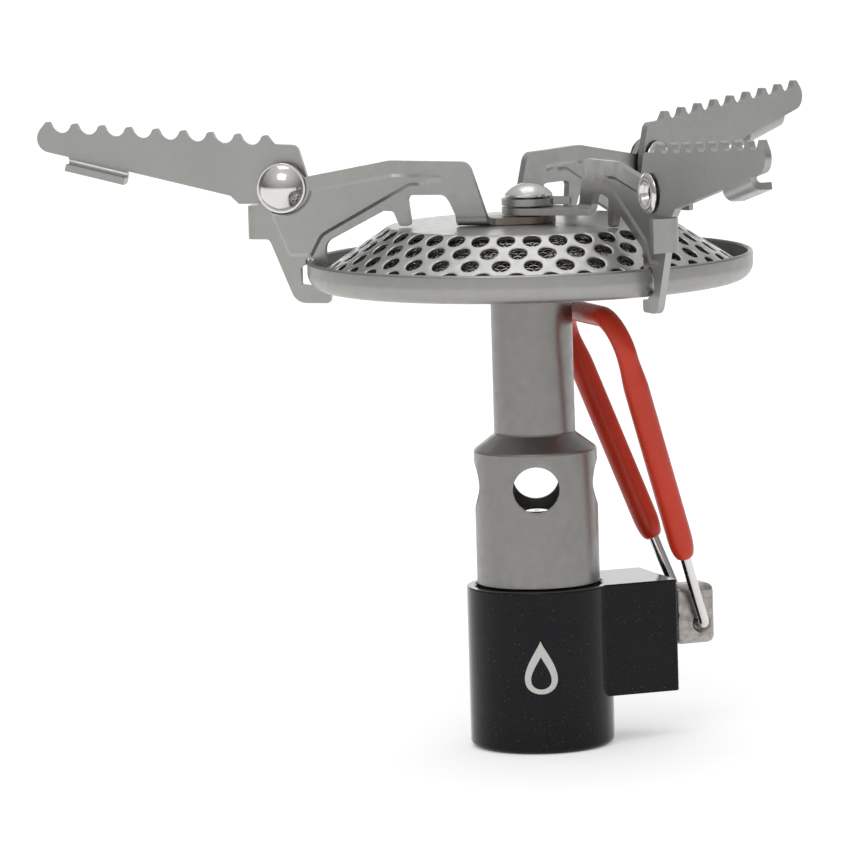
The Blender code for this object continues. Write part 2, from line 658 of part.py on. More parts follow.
def support_arm(name, axis, level):
    """Bent sheet: pivot ring, tongue, upright web with finger, rim slot and hook, and the stop plate."""
    ring_z = FIRST_RING_Z + level * RING_STEP
    foot = ring_z + BEND_R
    bm = bmesh.new()
    outline = web_outline(foot)
    web = [bm.verts.new((s, WEB_N, z)) for s, z in outline]
    bm.faces.new(web)

    # foot bend and tongue: round a quarter turn, then flat to the ring
    steps = 3
    ends = (web[0], web[-1])
    row = ends
    for i in range(1, steps + 1):
        a = radians(90 * i / steps)
        n = WEB_N - BEND_R + BEND_R * cos(a)
        z = foot - BEND_R * sin(a)
        following = tuple(bm.verts.new((end.co.x, n, z)) for end in ends)
        bm.faces.new((row[0], following[0], following[1], row[1]))
        row = following
    near = (row[0].co.x, row[0].co.y)
    far = (row[1].co.x, row[1].co.y)
    start = tangent_angle(far, RING_R, -1)
    end = tangent_angle(near, RING_R, 1)
    rim = arc((0, 0), RING_R, start, end - 360, 16)
    if name == "back":
        corners = ((RING_R, -35), (LUG_R, -44), (LUG_R, -66), (RING_R, -75))
        lug = [(r * cos(radians(a)), r * sin(radians(a))) for r, a in corners]
        below = [p for p in rim if atan2(p[1], p[0]) < radians(-78) or atan2(p[1], p[0]) > radians(20)]
        rim = lug + below
    tongue = [bm.verts.new((x, y, ring_z)) for x, y in rim]
    bm.faces.new([row[0], row[1]] + tongue)

    # stop plate: bent off the outer edge, square to the web
    bend_s = PLATE_S - BEND_R
    plate = [v for v in web if abs(v.co.x - bend_s) < 0.001]
    row = tuple(sorted(plate, key=lambda v: v.co.z))
    for s, n in arc((bend_s, WEB_N - BEND_R), BEND_R, 60, 0, 2) + [(PLATE_S, PLATE_INNER_N)]:
        following = tuple(bm.verts.new((s, n, end.co.z)) for end in row)
        bm.faces.new((row[0], following[0], following[1], row[1]))
        row = following

    bmesh.ops.recalc_face_normals(bm, faces=bm.faces)
    bm.faces.ensure_lookup_table()
    if bm.faces[0].normal.y < 0:
        bmesh.ops.reverse_faces(bm, faces=bm.faces)
    arm = add_object(f"{name}_arm", bm, "arm_sheet", axis)
    thicken(arm, SHEET)

    hole = add_object(f"{name}_ring_cutter", rod(SCREW_HOLE_R, ring_z - 1, ring_z + 2, 16), parent=axis)
    combine(arm, hole, 'DIFFERENCE')
    through = Matrix.Translation((RIVET_S * MM, 0, RIVET_Z * MM)) @ Matrix.Rotation(radians(-90), 4, 'X')
    hole = add_object(f"{name}_rivet_cutter", rod(RIVET_HOLE_R, 2.0, 7.0, 14), parent=axis, matrix=through)
    combine(arm, hole, 'DIFFERENCE')
    return hole


def blade_outline():
    """Side view of a blade: pivot corner, lower edge, round tip, then back over the teeth."""
    outline = [(30.2, 78.0), (30.6, 76.7), (31.6, 75.95), (40.1, 75.95), (41.3, 77.1)]
    outline += [FLANGE_INNER, FLANGE_OUTER]
    outline += arc((66.9, 85.35), 2.0, -65, 45, 4)
    run = (TOOTH_LAST[0] - TOOTH_FIRST[0]) / (TOOTH_COUNT - 1)
    rise = (TOOTH_LAST[1] - TOOTH_FIRST[1]) / (TOOTH_COUNT - 1)
    for i in reversed(range(TOOTH_COUNT)):
        tip = (TOOTH_FIRST[0] + run * i, TOOTH_FIRST[1] + rise * i)
        outline += [(tip[0] + TOOTH_HALF_TIP, tip[1]), (tip[0] - TOOTH_HALF_TIP, tip[1])]
        if i > 0:
            valley = (tip[0] - run / 2, tip[1] - rise / 2 - TOOTH_DEPTH)
            outline += [(valley[0] + 1.0, valley[1] + 0.3), valley, (valley[0] - 1.0, valley[1] + 0.3)]
    outline += [(35.0, 84.2), (32.8, 84.05), (31.8, 83.75), (31.3, 83.1), (30.4, 79.9)]
    return outline


def support_blade(name, axis, hole):
    """Serrated blade with the small curved flange under its tip."""
    bm = bmesh.new()
    outline = blade_outline()
    verts = [bm.verts.new((s, BLADE_N, z)) for s, z in outline]
    bm.faces.new(verts)
    first = verts[outline.index(FLANGE_INNER)]
    last = verts[outline.index(FLANGE_OUTER)]
    row = (first, last)
    for n, drop in arc((FLANGE_R, 0), FLANGE_R, 150, 90, 2) + [(FLANGE_REACH, FLANGE_R)]:
        following = tuple(bm.verts.new((end.co.x, BLADE_N + n, end.co.z - drop)) for end in (first, last))
        bm.faces.new((row[0], row[1], following[1], following[0]))
        row = following
    bmesh.ops.recalc_face_normals(bm, faces=bm.faces)
    bm.faces.ensure_lookup_table()
    if bm.faces[0].normal.y > 0:
        bmesh.ops.reverse_faces(bm, faces=bm.faces)
    pivot = empty(f"{name}_blade_pivot", (RIVET_S, 0, RIVET_Z), parent=axis)
    bmesh.ops.translate(bm, vec=(-RIVET_S, 0, -RIVET_Z), verts=bm.verts)
    blade = add_object(f"{name}_blade", bm, "arm_sheet", pivot)
    thicken(blade, SHEET)
    combine(blade, hole, 'DIFFERENCE')


def support_rivet(name, axis):
    """Domed head outside the web, hollow tail behind the blade."""
    seat = WEB_N + RIVET_PLAY
    tail = BLADE_N - RIVET_PLAY
    shank = RIVET_HOLE_R - GAP
    dome_h = RIVET_HEAD_H - RIVET_RIM
    sphere_r = (RIVET_HEAD_R ** 2 + dome_h ** 2) / (2 * dome_h)
    first = 90 - asin(RIVET_HEAD_R / sphere_r) * 180 / pi
    dome = arc((0, seat + RIVET_HEAD_H - sphere_r), sphere_r, first, 90, 4)
    profile = [(0, tail + 1.4), (1.1, tail + 1.4), (1.1, tail - 0.9), (1.7, tail - 0.9),
               (RIVET_TAIL_R, tail - 0.35), (RIVET_TAIL_R, tail), (shank, tail), (shank, seat),
               (RIVET_HEAD_R, seat)]
    through = Matrix.Translation((RIVET_S * MM, 0, RIVET_Z * MM)) @ Matrix.Rotation(radians(-90), 4, 'X')
    add_object(f"{name}_rivet", turned(profile + dome, 20), "polished_steel", axis, through)


# --- assembly --------------------------------------------------------------------------------------

def build():
    for obj in list(bpy.data.objects):
        bpy.data.objects.remove(obj, do_unlink=True)
    valve_body()
    socket_fittings()
    jet_parts()
    spindle_axis = empty("spindle_axis", (0, 0, VALVE_Z))
    valve_spindle(spindle_axis)
    handle(spindle_axis)
    mixing_tube()
    burner_post()
    burner_bowl()
    burner_cap()
    flame_screen()
    centre_screw()
    for name, direction, level in SUPPORTS:
        axis = empty(f"{name}_arm_axis", (0, 0, 0), turn_z=direction)
        hole = support_arm(name, axis, level)
        support_blade(name, axis, hole)
        support_rivet(name, axis)


build()
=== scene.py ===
"""Canister stove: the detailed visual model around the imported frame, in a plain studio.

Drawings are in millimetres and are scaled to metres as each mesh is made. The row frame is +Z up,
+X out along the valve spindle, origin under the middle of the valve body.
"""

from math import acos, asin, atan2, ceil, cos, hypot, pi, radians, sin, sqrt, tan

import bmesh
import bpy
from mathutils import Matrix, Vector
from mathutils.geometry import tessellate_polygon


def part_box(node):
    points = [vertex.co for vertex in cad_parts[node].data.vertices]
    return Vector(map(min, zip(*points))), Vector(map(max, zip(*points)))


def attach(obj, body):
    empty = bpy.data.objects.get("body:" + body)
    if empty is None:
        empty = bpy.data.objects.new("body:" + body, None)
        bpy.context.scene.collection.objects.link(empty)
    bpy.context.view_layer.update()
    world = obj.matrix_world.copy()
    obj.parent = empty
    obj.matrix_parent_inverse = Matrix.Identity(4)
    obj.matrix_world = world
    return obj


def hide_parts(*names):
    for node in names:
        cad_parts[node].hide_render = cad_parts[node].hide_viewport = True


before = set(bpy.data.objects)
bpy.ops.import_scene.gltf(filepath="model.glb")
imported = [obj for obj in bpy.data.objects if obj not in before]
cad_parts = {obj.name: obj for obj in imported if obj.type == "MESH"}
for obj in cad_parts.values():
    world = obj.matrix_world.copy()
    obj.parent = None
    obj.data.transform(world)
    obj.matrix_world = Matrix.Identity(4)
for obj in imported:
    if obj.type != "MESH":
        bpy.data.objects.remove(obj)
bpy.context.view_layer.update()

MM = 0.001


def span(node, axis):
    """Lowest and highest place of a CAD node along an axis, in millimetres."""
    low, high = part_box(node)
    return low[axis] / MM, high[axis] / MM


# --- driving dimensions, millimetres ---

BODY_R = -span("valve_body", 0)[0]
BLOCK_END_X = span("valve_body", 0)[1]
BLOCK_HALF_Y = 6.9
BLOCK_BOTTOM = 6.9
BODY_TOP = span("valve_body", 2)[1]
SOCKET_R = 5.55
SOCKET_DEPTH = 9.5
VALVE_Z = 16.6

TUBE_FOOT, NECK_TOP = span("mixing_tube", 2)
TUBE_R = span("mixing_tube", 0)[1]
TUBE_BORE = TUBE_R - 0.8
TUBE_UNDERCUT = 0.35
TUBE_TOP = 41.4
STEM_R = 5.6
STEM_BORE = 4.9
STEM_FOOT = 43.6
NECK_R = 5.0
PORT_R = 3.2
PORT_Z = 36.5
PORT_ANGLE = -21.0

BOWL_BOTTOM, BOWL_RIM = span("burner_bowl", 2)
BOWL_R = span("burner_bowl", 0)[1]
BOWL_WALL = 0.7
BOWL_CORNER = 2.3
CAP_TOP = span("burner_cap", 2)[1]
CAP_EDGE_R = 28.9
CAP_EDGE_Z = 66.46
CAP_SLOPE = 0.65
CAP_WALL = 0.7
FLAME_ROWS = 4
FLAME_PORTS = 36
FLAME_PORT_R = 1.2
LIP_R = 1.42
FLAME_ROW_PITCH = 2.25
FLAME_FIRST_ROW_R = 20.4

SHEET = 0.95
RING_Z = 72.75
RING_PITCH = 1.2
RING_R = 3.7
RING_HOLE_R = 1.75
WEB_N = 5.33
WEB_LEAN = 0.038
BEND_R = 1.5
PLATE_S = 38.9
BLADE_N = 3.15
RIVET_S = 33.4
RIVET_Z = 78.65
RIVET_HOLE_R = 1.65
PANEL_FADE_S = 13.3
TOOTH_COUNT = 9
TOOTH_FIRST = (36.1, 85.39)
TOOTH_LAST = (67.3, 87.64)

# support name and direction in degrees, from the lowest pivot ring up
SUPPORTS = {"fixed": 146.8, "front": -87.6, "back": 30.4}

PIVOT_X = 23.4
PIVOT_Z = 15.3
WIRE_R = 0.75
SLEEVE_BAR_R = 1.45
SLEEVE_LEG_R = 1.75
LOOP_TILT = 19.0
LOOP_FOOT_HALF = 3.1
LOOP_SPREAD = 0.172
LOOP_HEIGHT = 46.9
LOOP_CORNER = 4.6
SLEEVE_START = (10.4, 12.2)


# --- node graphs ---

class Graph:
    """The nodes of a material or of the world."""

    def __init__(self, tree):
        self.nodes = tree.nodes
        self.links = tree.links

    def node(self, kind, **values):
        """Make a node; names match its attributes, or its inputs where it has no such attribute."""
        made = self.nodes.new("ShaderNode" + kind)
        for key, value in values.items():
            if hasattr(made, key):
                setattr(made, key, value)
            else:
                made.inputs[key.replace("_", " ")].default_value = value
        return made

    def join(self, source, target):
        self.links.new(source, target)


# --- camera and studio ---

# strengths of the sky and floor, and the two sides towards which the sky is brighter
HORIZON_GLOW = 0.06
ZENITH_GLOW = 0.75
BACKDROP_GLOW = 0.30
FRONT_GLOW = 0.34
FLOOR_GLOW = 0.33
BACKDROP_SIDE = (0.36, 0.93, 0.0)
FRONT_SIDE = (-0.5, -0.87, 0.0)


def placed(name, data):
    """An object in the scene that holds the data."""
    obj = bpy.data.objects.new(name, data)
    bpy.context.scene.collection.objects.link(obj)
    return obj


def camera():
    """Long lens a little above the burner, looking slightly down."""
    place = Vector((-299.5, -780.2, 145.4)) * MM
    yaw = radians(-21.0) + 0.0172
    pitch = -0.1205
    roll = -0.0294
    data = bpy.data.cameras.new("camera")
    data.sensor_width = 36.0
    data.lens = 254.63
    data.clip_start = 0.01
    data.clip_end = 50.0
    obj = placed("camera", data)
    turn = Matrix.Rotation(yaw, 4, 'Z') @ Matrix.Rotation(pi / 2 + pitch, 4, 'X') @ Matrix.Rotation(roll, 4, 'Z')
    obj.matrix_world = Matrix.Translation(place) @ turn
    bpy.context.scene.camera = obj


def softbox(name, place, aim, width, height, power):
    """Rectangular area light."""
    data = bpy.data.lights.new(name, 'AREA')
    data.shape = 'RECTANGLE'
    data.size = width
    data.size_y = height
    data.energy = power
    obj = placed(name, data)
    obj.location = place
    obj.rotation_euler = (Vector(aim) - Vector(place)).to_track_quat('-Z', 'Y').to_euler()


def studio():
    """Glowing white floor, a sky that is bright above and dimmer at the horizon, and three soft boxes."""
    bm = bmesh.new()
    bmesh.ops.create_grid(bm, x_segments=8, y_segments=8, size=6.0)
    mesh = bpy.data.meshes.new("floor")
    bm.to_mesh(mesh)
    bm.free()
    white = Look("white_floor", (0.95, 0.95, 0.95), 0.9, 0.0, Specular_IOR_Level=0.1, Emission_Color=(1, 1, 1, 1),
                 Emission_Strength=FLOOR_GLOW)
    mesh.materials.append(white.material)
    placed("floor", mesh)

    world = bpy.data.worlds.new("studio")
    bpy.context.scene.world = world
    world.use_nodes = True
    sky = Graph(world.node_tree)
    coords = sky.node("TexCoord")
    gains = [((0, 0, 1), HORIZON_GLOW, ZENITH_GLOW), (BACKDROP_SIDE, 0.0, BACKDROP_GLOW), (FRONT_SIDE, 0.0, FRONT_GLOW)]
    total = None
    for direction, low, high in gains:
        along = sky.node("VectorMath", operation='DOT_PRODUCT')
        along.inputs[1].default_value = direction
        mapped = sky.node("MapRange", To_Min=low, To_Max=high)
        sky.join(coords.outputs["Generated"], along.inputs[0])
        sky.join(along.outputs["Value"], mapped.inputs["Value"])
        if total is None:
            total = mapped.outputs["Result"]
            continue
        both = sky.node("Math", operation='ADD')
        sky.join(total, both.inputs[0])
        sky.join(mapped.outputs["Result"], both.inputs[1])
        total = both.outputs[0]
    sky.join(total, sky.nodes["Background"].inputs["Strength"])
    sky.nodes["Background"].inputs["Color"].default_value = (1, 1, 1, 1)

    softbox("key", (-0.5, -0.75, 1.2), (0, 0, 0.05), 0.8, 0.6, 4)
    softbox("top", (0.1, 0.4, 1.5), (0, 0, 0.05), 0.8, 0.8, 2)
    softbox("back_strip", (0.8, 2.05, 0.32), (0, 0, 0.1), 2.4, 0.5, 5)

    bpy.context.scene.view_settings.view_transform = 'Standard'


# --- materials ---

class Look(Graph):
    """A Principled material with helpers that add detail from object coordinates, in millimetres."""

    def __init__(self, name, colour, roughness, metallic, **fixed):
        self.material = bpy.data.materials.new(name)
        self.material.use_nodes = True
        super().__init__(self.material.node_tree)
        self.shader = self.nodes["Principled BSDF"]
        self.shader.inputs["Base Color"].default_value = (*colour, 1)
        self.shader.inputs["Roughness"].default_value = roughness
        self.shader.inputs["Metallic"].default_value = metallic
        for socket, value in fixed.items():
            self.shader.inputs[socket.replace("_", " ")].default_value = value
        self.coords = self.node("TexCoord").outputs["Object"]
        self.height = None

    def stretched(self, scale):
        """Object coordinates scaled along each axis, in features per millimetre."""
        mapping = self.node("Mapping", Scale=[s / MM for s in scale])
        self.join(self.coords, mapping.inputs["Vector"])
        return mapping.outputs["Vector"]

    def noise(self, per_mm, detail=4.0, rough=0.55, scale=(1, 1, 1)):
        """Noise with that many features per millimetre."""
        texture = self.node("TexNoise", Scale=1.0, Detail=detail, Roughness=rough)
        self.join(self.stretched([per_mm * s for s in scale]), texture.inputs["Vector"])
        return texture.outputs["Fac"]

    def ranged(self, value, low, high, from_low=0.3, from_high=0.7):
        """Map a 0 to 1 texture onto a range."""
        mapped = self.node("MapRange", From_Min=from_low, From_Max=from_high, To_Min=low, To_Max=high)
        self.join(value, mapped.inputs["Value"])
        return mapped.outputs["Result"]

    def tint(self, factor, other):
        """Mix another colour in where the factor is high."""
        mix = self.node("Mix", data_type='RGBA')
        self.join(factor, mix.inputs["Factor"])
        current = self.shader.inputs["Base Color"]
        if current.is_linked:
            self.join(current.links[0].from_socket, mix.inputs["A"])
        else:
            mix.inputs["A"].default_value = current.default_value
        mix.inputs["B"].default_value = (*other, 1)
        self.join(mix.outputs["Result"], current)

    def bump(self, value, height_mm):
        """Add a bump layer; the height is in millimetres."""
        layer = self.node("Bump", Strength=1.0, Distance=height_mm * MM)
        self.join(value, layer.inputs["Height"])
        if self.height is not None:
            self.join(self.height, layer.inputs["Normal"])
        self.height = layer.outputs["Normal"]
        self.join(self.height, self.shader.inputs["Normal"])

    def roughen(self, value):
        self.join(value, self.shader.inputs["Roughness"])


def blasted_metal(name, colour, roughness, depth=0.006):
    """Metal with a fine blasted grain, faint clouding and a few handling marks."""
    look = Look(name, colour, roughness, 1.0)
    cloud = look.noise(0.12, detail=3.0)
    look.tint(look.ranged(cloud, 0.0, 0.35), [c * 0.82 for c in colour])
    fine = look.noise(7.0, detail=3.0, rough=0.7)
    look.tint(look.ranged(fine, 0.0, 0.16), [c * 1.25 for c in colour])
    look.roughen(look.ranged(look.noise(0.8), roughness - 0.05, roughness + 0.07))
    look.bump(fine, depth)
    scratch = look.noise(0.5, detail=6.0, rough=0.8, scale=(1, 1, 9))
    look.bump(look.ranged(scratch, 0.0, 1.0, 0.62, 0.7), 0.0015)
    return look


def turned_metal(name, colour, roughness):
    """Blasted metal that still shows very fine lathe rings."""
    look = blasted_metal(name, colour, roughness, depth=0.005)
    rings = look.noise(1.0, detail=5.0, rough=0.75, scale=(0.02, 0.02, 5.0))
    look.bump(rings, 0.003)
    return look


def heat_tint_and_shade_metal(name, colour, roughness):
    """Arm sheet browned round its pivot ring: partly heat tint, partly painted shade from the rings stacked above it.
    """
    look = blasted_metal(name, colour, roughness)
    distance = look.node("VectorMath", operation='LENGTH')
    look.join(look.stretched((1, 1, 0)), distance.inputs[0])
    wobble = look.node("Math", operation='MULTIPLY_ADD')
    look.join(look.noise(0.5), wobble.inputs[0])
    wobble.inputs[1].default_value = 2.0
    look.join(distance.outputs["Value"], wobble.inputs[2])
    # painted shade and heat tint: brown over the pivot ring near the axis, fading out by about 9 mm
    look.tint(look.ranged(wobble.outputs[0], 0.75, 0.0, 4.5, 9.0), (0.16, 0.095, 0.05))
    return look


def black_anodised(name):
    """Satin black under a clear coat, with small pale specks from the cast grain and faint paler clouds."""
    look = Look(name, (0.002, 0.002, 0.0025), 0.2, 0.0, Specular_IOR_Level=0.0, Coat_Weight=1.0, Coat_Roughness=0.10,
                Coat_IOR=1.25, Sheen_Weight=0.6, Sheen_Roughness=0.25)
    grain = look.noise(5.0, detail=2.0)
    look.tint(look.ranged(look.noise(0.15), 0.0, 1.0), (0.005, 0.005, 0.006))
    look.tint(look.ranged(look.noise(3.0, detail=3.0), 0.0, 0.6), (0.012, 0.013, 0.016))
    specks = look.node("TexVoronoi", Scale=1.0)
    look.join(look.stretched((2.3, 2.3, 2.3)), specks.inputs["Vector"])
    pick = look.node("SeparateColor")
    look.join(specks.outputs["Color"], pick.inputs["Color"])
    chosen = look.ranged(pick.outputs["Red"], 0.0, 1.0, 0.72, 0.86)
    dot = look.ranged(specks.outputs["Distance"], 1.0, 0.0, 0.06, 0.17)
    both = look.node("Math", operation='MULTIPLY')
    look.join(chosen, both.inputs[0])
    look.join(dot, both.inputs[1])
    look.tint(both.outputs[0], (0.15, 0.145, 0.135))
    look.roughen(look.ranged(grain, 0.15, 0.26))
    look.bump(grain, 0.004)
    return look


def polished_steel(name, colour, roughness):
    """Bright steel with faint rub marks."""
    look = Look(name, colour, roughness, 1.0)
    look.roughen(look.ranged(look.noise(1.2, detail=6.0), roughness * 0.7, roughness * 1.6))
    look.tint(look.ranged(look.noise(0.6), 0.0, 0.3), [c * 0.8 for c in colour])
    look.bump(look.noise(1.5, detail=5.0, rough=0.7), 0.004)
    return look


def machined_steel(name):
    """Raw milled steel with tool marks across it and darker blotches."""
    look = Look(name, (0.42, 0.40, 0.375), 0.33, 1.0)
    marks = look.noise(1.0, detail=6.0, rough=0.7, scale=(0.25, 0.25, 6.0))
    look.bump(marks, 0.02)
    look.roughen(look.ranged(marks, 0.24, 0.48))
    look.tint(look.ranged(look.noise(0.9, detail=5.0), 0.0, 0.75, 0.45, 0.68), (0.22, 0.20, 0.18))
    return look


def red_vinyl(name):
    """Glossy dipped vinyl, slightly uneven."""
    look = Look(name, (0.56, 0.036, 0.012), 0.30, 0.0, Specular_IOR_Level=0.35)
    look.tint(look.ranged(look.noise(0.18, detail=2.0), 0.0, 0.5), (0.44, 0.024, 0.009))
    look.tint(look.ranged(look.noise(2.5, detail=3.0), 0.0, 0.08), (0.70, 0.07, 0.03))
    look.roughen(look.ranged(look.noise(0.7), 0.26, 0.34))
    look.bump(look.noise(0.25, detail=1.0), 0.03)
    return look


def plain_grain(name, colour, roughness, metallic, per_mm, depth):
    """Simple grained look for the small hidden pieces."""
    look = Look(name, colour, roughness, metallic)
    grain = look.noise(per_mm, rough=0.65)
    look.tint(look.ranged(grain, 0.0, 0.5), [c * 0.6 for c in colour])
    look.roughen(look.ranged(grain, roughness * 0.85, min(roughness * 1.2, 1.0)))
    look.bump(grain, depth)
    return look


SHEET_GREY = (0.385, 0.382, 0.368)
LOOKS = {
    "sheet": blasted_metal("blasted_sheet", SHEET_GREY, 0.36),
    "tinted_sheet": heat_tint_and_shade_metal("heat_tint_and_shade_sheet", SHEET_GREY, 0.36),
    "tube": turned_metal("turned_satin_metal", (0.265, 0.261, 0.249), 0.34),
    "bowl": blasted_metal("blasted_bowl", (0.34, 0.336, 0.323), 0.36),
    "cap": blasted_metal("blasted_cap", (0.47, 0.467, 0.456), 0.33),
    "black": black_anodised("black_anodised_grain"),
    "polished": polished_steel("polished_rub_marked", (0.68, 0.67, 0.65), 0.13),
    "screw": polished_steel("satin_screw", (0.62, 0.61, 0.58), 0.22),
    "machined": machined_steel("raw_milled_steel"),
    "vinyl": red_vinyl("dipped_red_vinyl"),
    "brass": plain_grain("turned_brass", (0.72, 0.54, 0.26), 0.25, 1.0, 3.0, 0.003),
    "bronze": plain_grain("sintered_bronze_grain", (0.42, 0.30, 0.18), 0.6, 1.0, 6.0, 0.05),
    "rubber": plain_grain("black_rubber_grain", (0.022, 0.022, 0.022), 0.6, 0.0, 4.0, 0.01),
    "screen": plain_grain("woven_steel_wire", (0.42, 0.40, 0.37), 0.2, 1.0, 4.0, 0.004),
    "etch": plain_grain("etched_bare_metal", (0.62, 0.62, 0.60), 0.45, 0.7, 6.0, 0.006),
}


# --- shape helpers ---

def rounded(corners, closed=True):
    """Points along a line through corners (x, y) or (x, y, radius), each radius drawn as an arc."""
    widest = radians(10.0)
    line = []
    count = len(corners)
    for i, corner in enumerate(corners):
        here = Vector(corner[:2])
        radius = corner[2] if len(corner) > 2 else 0.0
        if radius == 0 or (not closed and i in (0, count - 1)):
            line.append(here)
            continue
        back = (Vector(corners[i - 1][:2]) - here).normalized()
        ahead = (Vector(corners[(i + 1) % count][:2]) - here).normalized()
        half = back.angle(ahead) / 2
        centre = here + (back + ahead).normalized() * (radius / sin(half))
        start = here + back * (radius / tan(half)) - centre
        end = here + ahead * (radius / tan(half)) - centre
        first = atan2(start.y, start.x)
        sweep = (atan2(end.y, end.x) - first + pi) % (2 * pi) - pi
        steps = max(2, ceil(abs(sweep) / widest - 0.01))
        for k in range(steps + 1):
            a = first + sweep * k / steps
            line.append(centre + radius * Vector((cos(a), sin(a))))
    return [(p.x, p.y) for p in line]


def arc(centre, radius, start, end, steps):
    """Points along a circle from one angle to another, in degrees."""
    turns = [radians(start + (end - start) * i / steps) for i in range(steps + 1)]
    return [(centre[0] + radius * cos(a), centre[1] + radius * sin(a)) for a in turns]


def dome(edge_r, top, rise, steps):
    """Profile of a round cap from its edge up to its top on the axis."""
    sphere = (edge_r ** 2 + rise ** 2) / (2 * rise)
    return arc((0, top - sphere), sphere, 90 - asin(edge_r / sphere) * 180 / pi, 90, steps)


def full_turn(count):
    """Angles of equal steps round a circle."""
    return [2 * pi * i / count for i in range(count)]


def skin(bm, rows, ring=True):
    """Quads between each row of vertices and the next; ring joins the ends of the rows too."""
    for low, high in zip(rows, rows[1:]):
        for i in range(len(low) if ring else len(low) - 1):
            n = (i + 1) % len(low)
            bm.faces.new((low[i], low[n], high[n], high[i]))


def turned(profile, segments, ring=True):
    """Spin a profile of (radius, height) about Z; ring closes a profile that misses the axis."""
    bm = bmesh.new()
    points = [bm.verts.new((r, 0, z)) for r, z in profile]
    edges = [bm.edges.new(pair) for pair in zip(points, points[1:])]
    if ring:
        edges.append(bm.edges.new((points[-1], points[0])))
    bmesh.ops.spin(bm, geom=points + edges, cent=(0, 0, 0), axis=(0, 0, 1), angle=2 * pi, steps=segments)
    bmesh.ops.remove_doubles(bm, verts=bm.verts, dist=0.0005)
    bmesh.ops.recalc_face_normals(bm, faces=bm.faces)
    return bm


def face_way(bm, way):
    """Make the normals agree, with the largest face pointing the given way."""
    bmesh.ops.recalc_face_normals(bm, faces=bm.faces)
    bm.normal_update()
    largest = max(bm.faces, key=lambda face: face.calc_area())
    if largest.normal.dot(Vector(way)) < 0:
        bmesh.ops.reverse_faces(bm, faces=bm.faces)


def draft(name, bm, matrix=None):
    """An object from a bmesh in millimetres, not yet a piece; the matrix places it in metres."""
    bmesh.ops.scale(bm, vec=(MM, MM, MM), verts=bm.verts)
    if matrix is not None:
        bmesh.ops.transform(bm, matrix=matrix, verts=bm.verts)
    mesh = bpy.data.meshes.new(name)
    bm.to_mesh(mesh)
    bm.free()
    return placed(name, mesh)


def bore_out(obj, profile, segments, matrix=None):
    """Cut a turned shape out of a draft."""
    cutter = draft("cutter", turned(profile, segments, ring=False), matrix)
    modifier = obj.modifiers.new("cut", 'BOOLEAN')
    modifier.operation = 'DIFFERENCE'
    modifier.solver = 'EXACT'
    modifier.object = cutter
    settle(obj)
    bpy.data.objects.remove(cutter, do_unlink=True)


def soften(obj, width, angle=40.0):
    """Round the sharp edges; the width is in millimetres."""
    modifier = obj.modifiers.new("edges", 'BEVEL')
    modifier.width = width * MM
    modifier.segments = 2
    modifier.limit_method = 'ANGLE'
    modifier.angle_limit = radians(angle)
    modifier.miter_outer = 'MITER_ARC'
    modifier.face_strength_mode = 'FSTR_ALL'
    settle(obj)


def thicken(obj, thickness):
    """Give a surface a wall on the side away from its normals; the thickness is in millimetres."""
    modifier = obj.modifiers.new("sheet", 'SOLIDIFY')
    modifier.thickness = thickness * MM
    modifier.offset = -1.0
    modifier.use_quality_normals = True
    settle(obj)


def settle(obj):
    """Apply the modifiers on a draft."""
    bpy.context.view_layer.update()
    graph = bpy.context.evaluated_depsgraph_get()
    mesh = bpy.data.meshes.new_from_object(obj.evaluated_get(graph))
    obj.modifiers.clear()
    old = obj.data
    obj.data = mesh
    bpy.data.meshes.remove(old)


def finish_piece(obj, look, body, node=None, sharp=32.0, sliver=0.0005):
    """Clear slivers from a draft, shade it, give it its material and tie it to the frame."""
    bm = bmesh.new()
    bm.from_mesh(obj.data)
    bmesh.ops.dissolve_degenerate(bm, dist=sliver * MM, edges=bm.edges)
    bm.to_mesh(obj.data)
    bm.free()
    obj.data.materials.clear()
    obj.data.materials.append(LOOKS[look].material)
    obj.data.shade_smooth()
    obj.data.set_sharp_from_angle(angle=radians(sharp))
    weigh = obj.modifiers.new("normals", 'WEIGHTED_NORMAL')
    weigh.keep_sharp = True
    weigh.use_face_influence = True
    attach(obj, body)
    if node:
        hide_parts(node)


def turned_piece(name, profile, look, node, segments, ring=True, matrix=None, body="stove_body"):
    """A lathe-turned piece that stands for one node."""
    finish_piece(draft(name, turned(profile, segments, ring), matrix), look, body, node)


ALONG_X = Matrix.Translation((0, 0, VALVE_Z * MM)) @ Matrix.Rotation(radians(90), 4, 'Y')


# --- valve ---

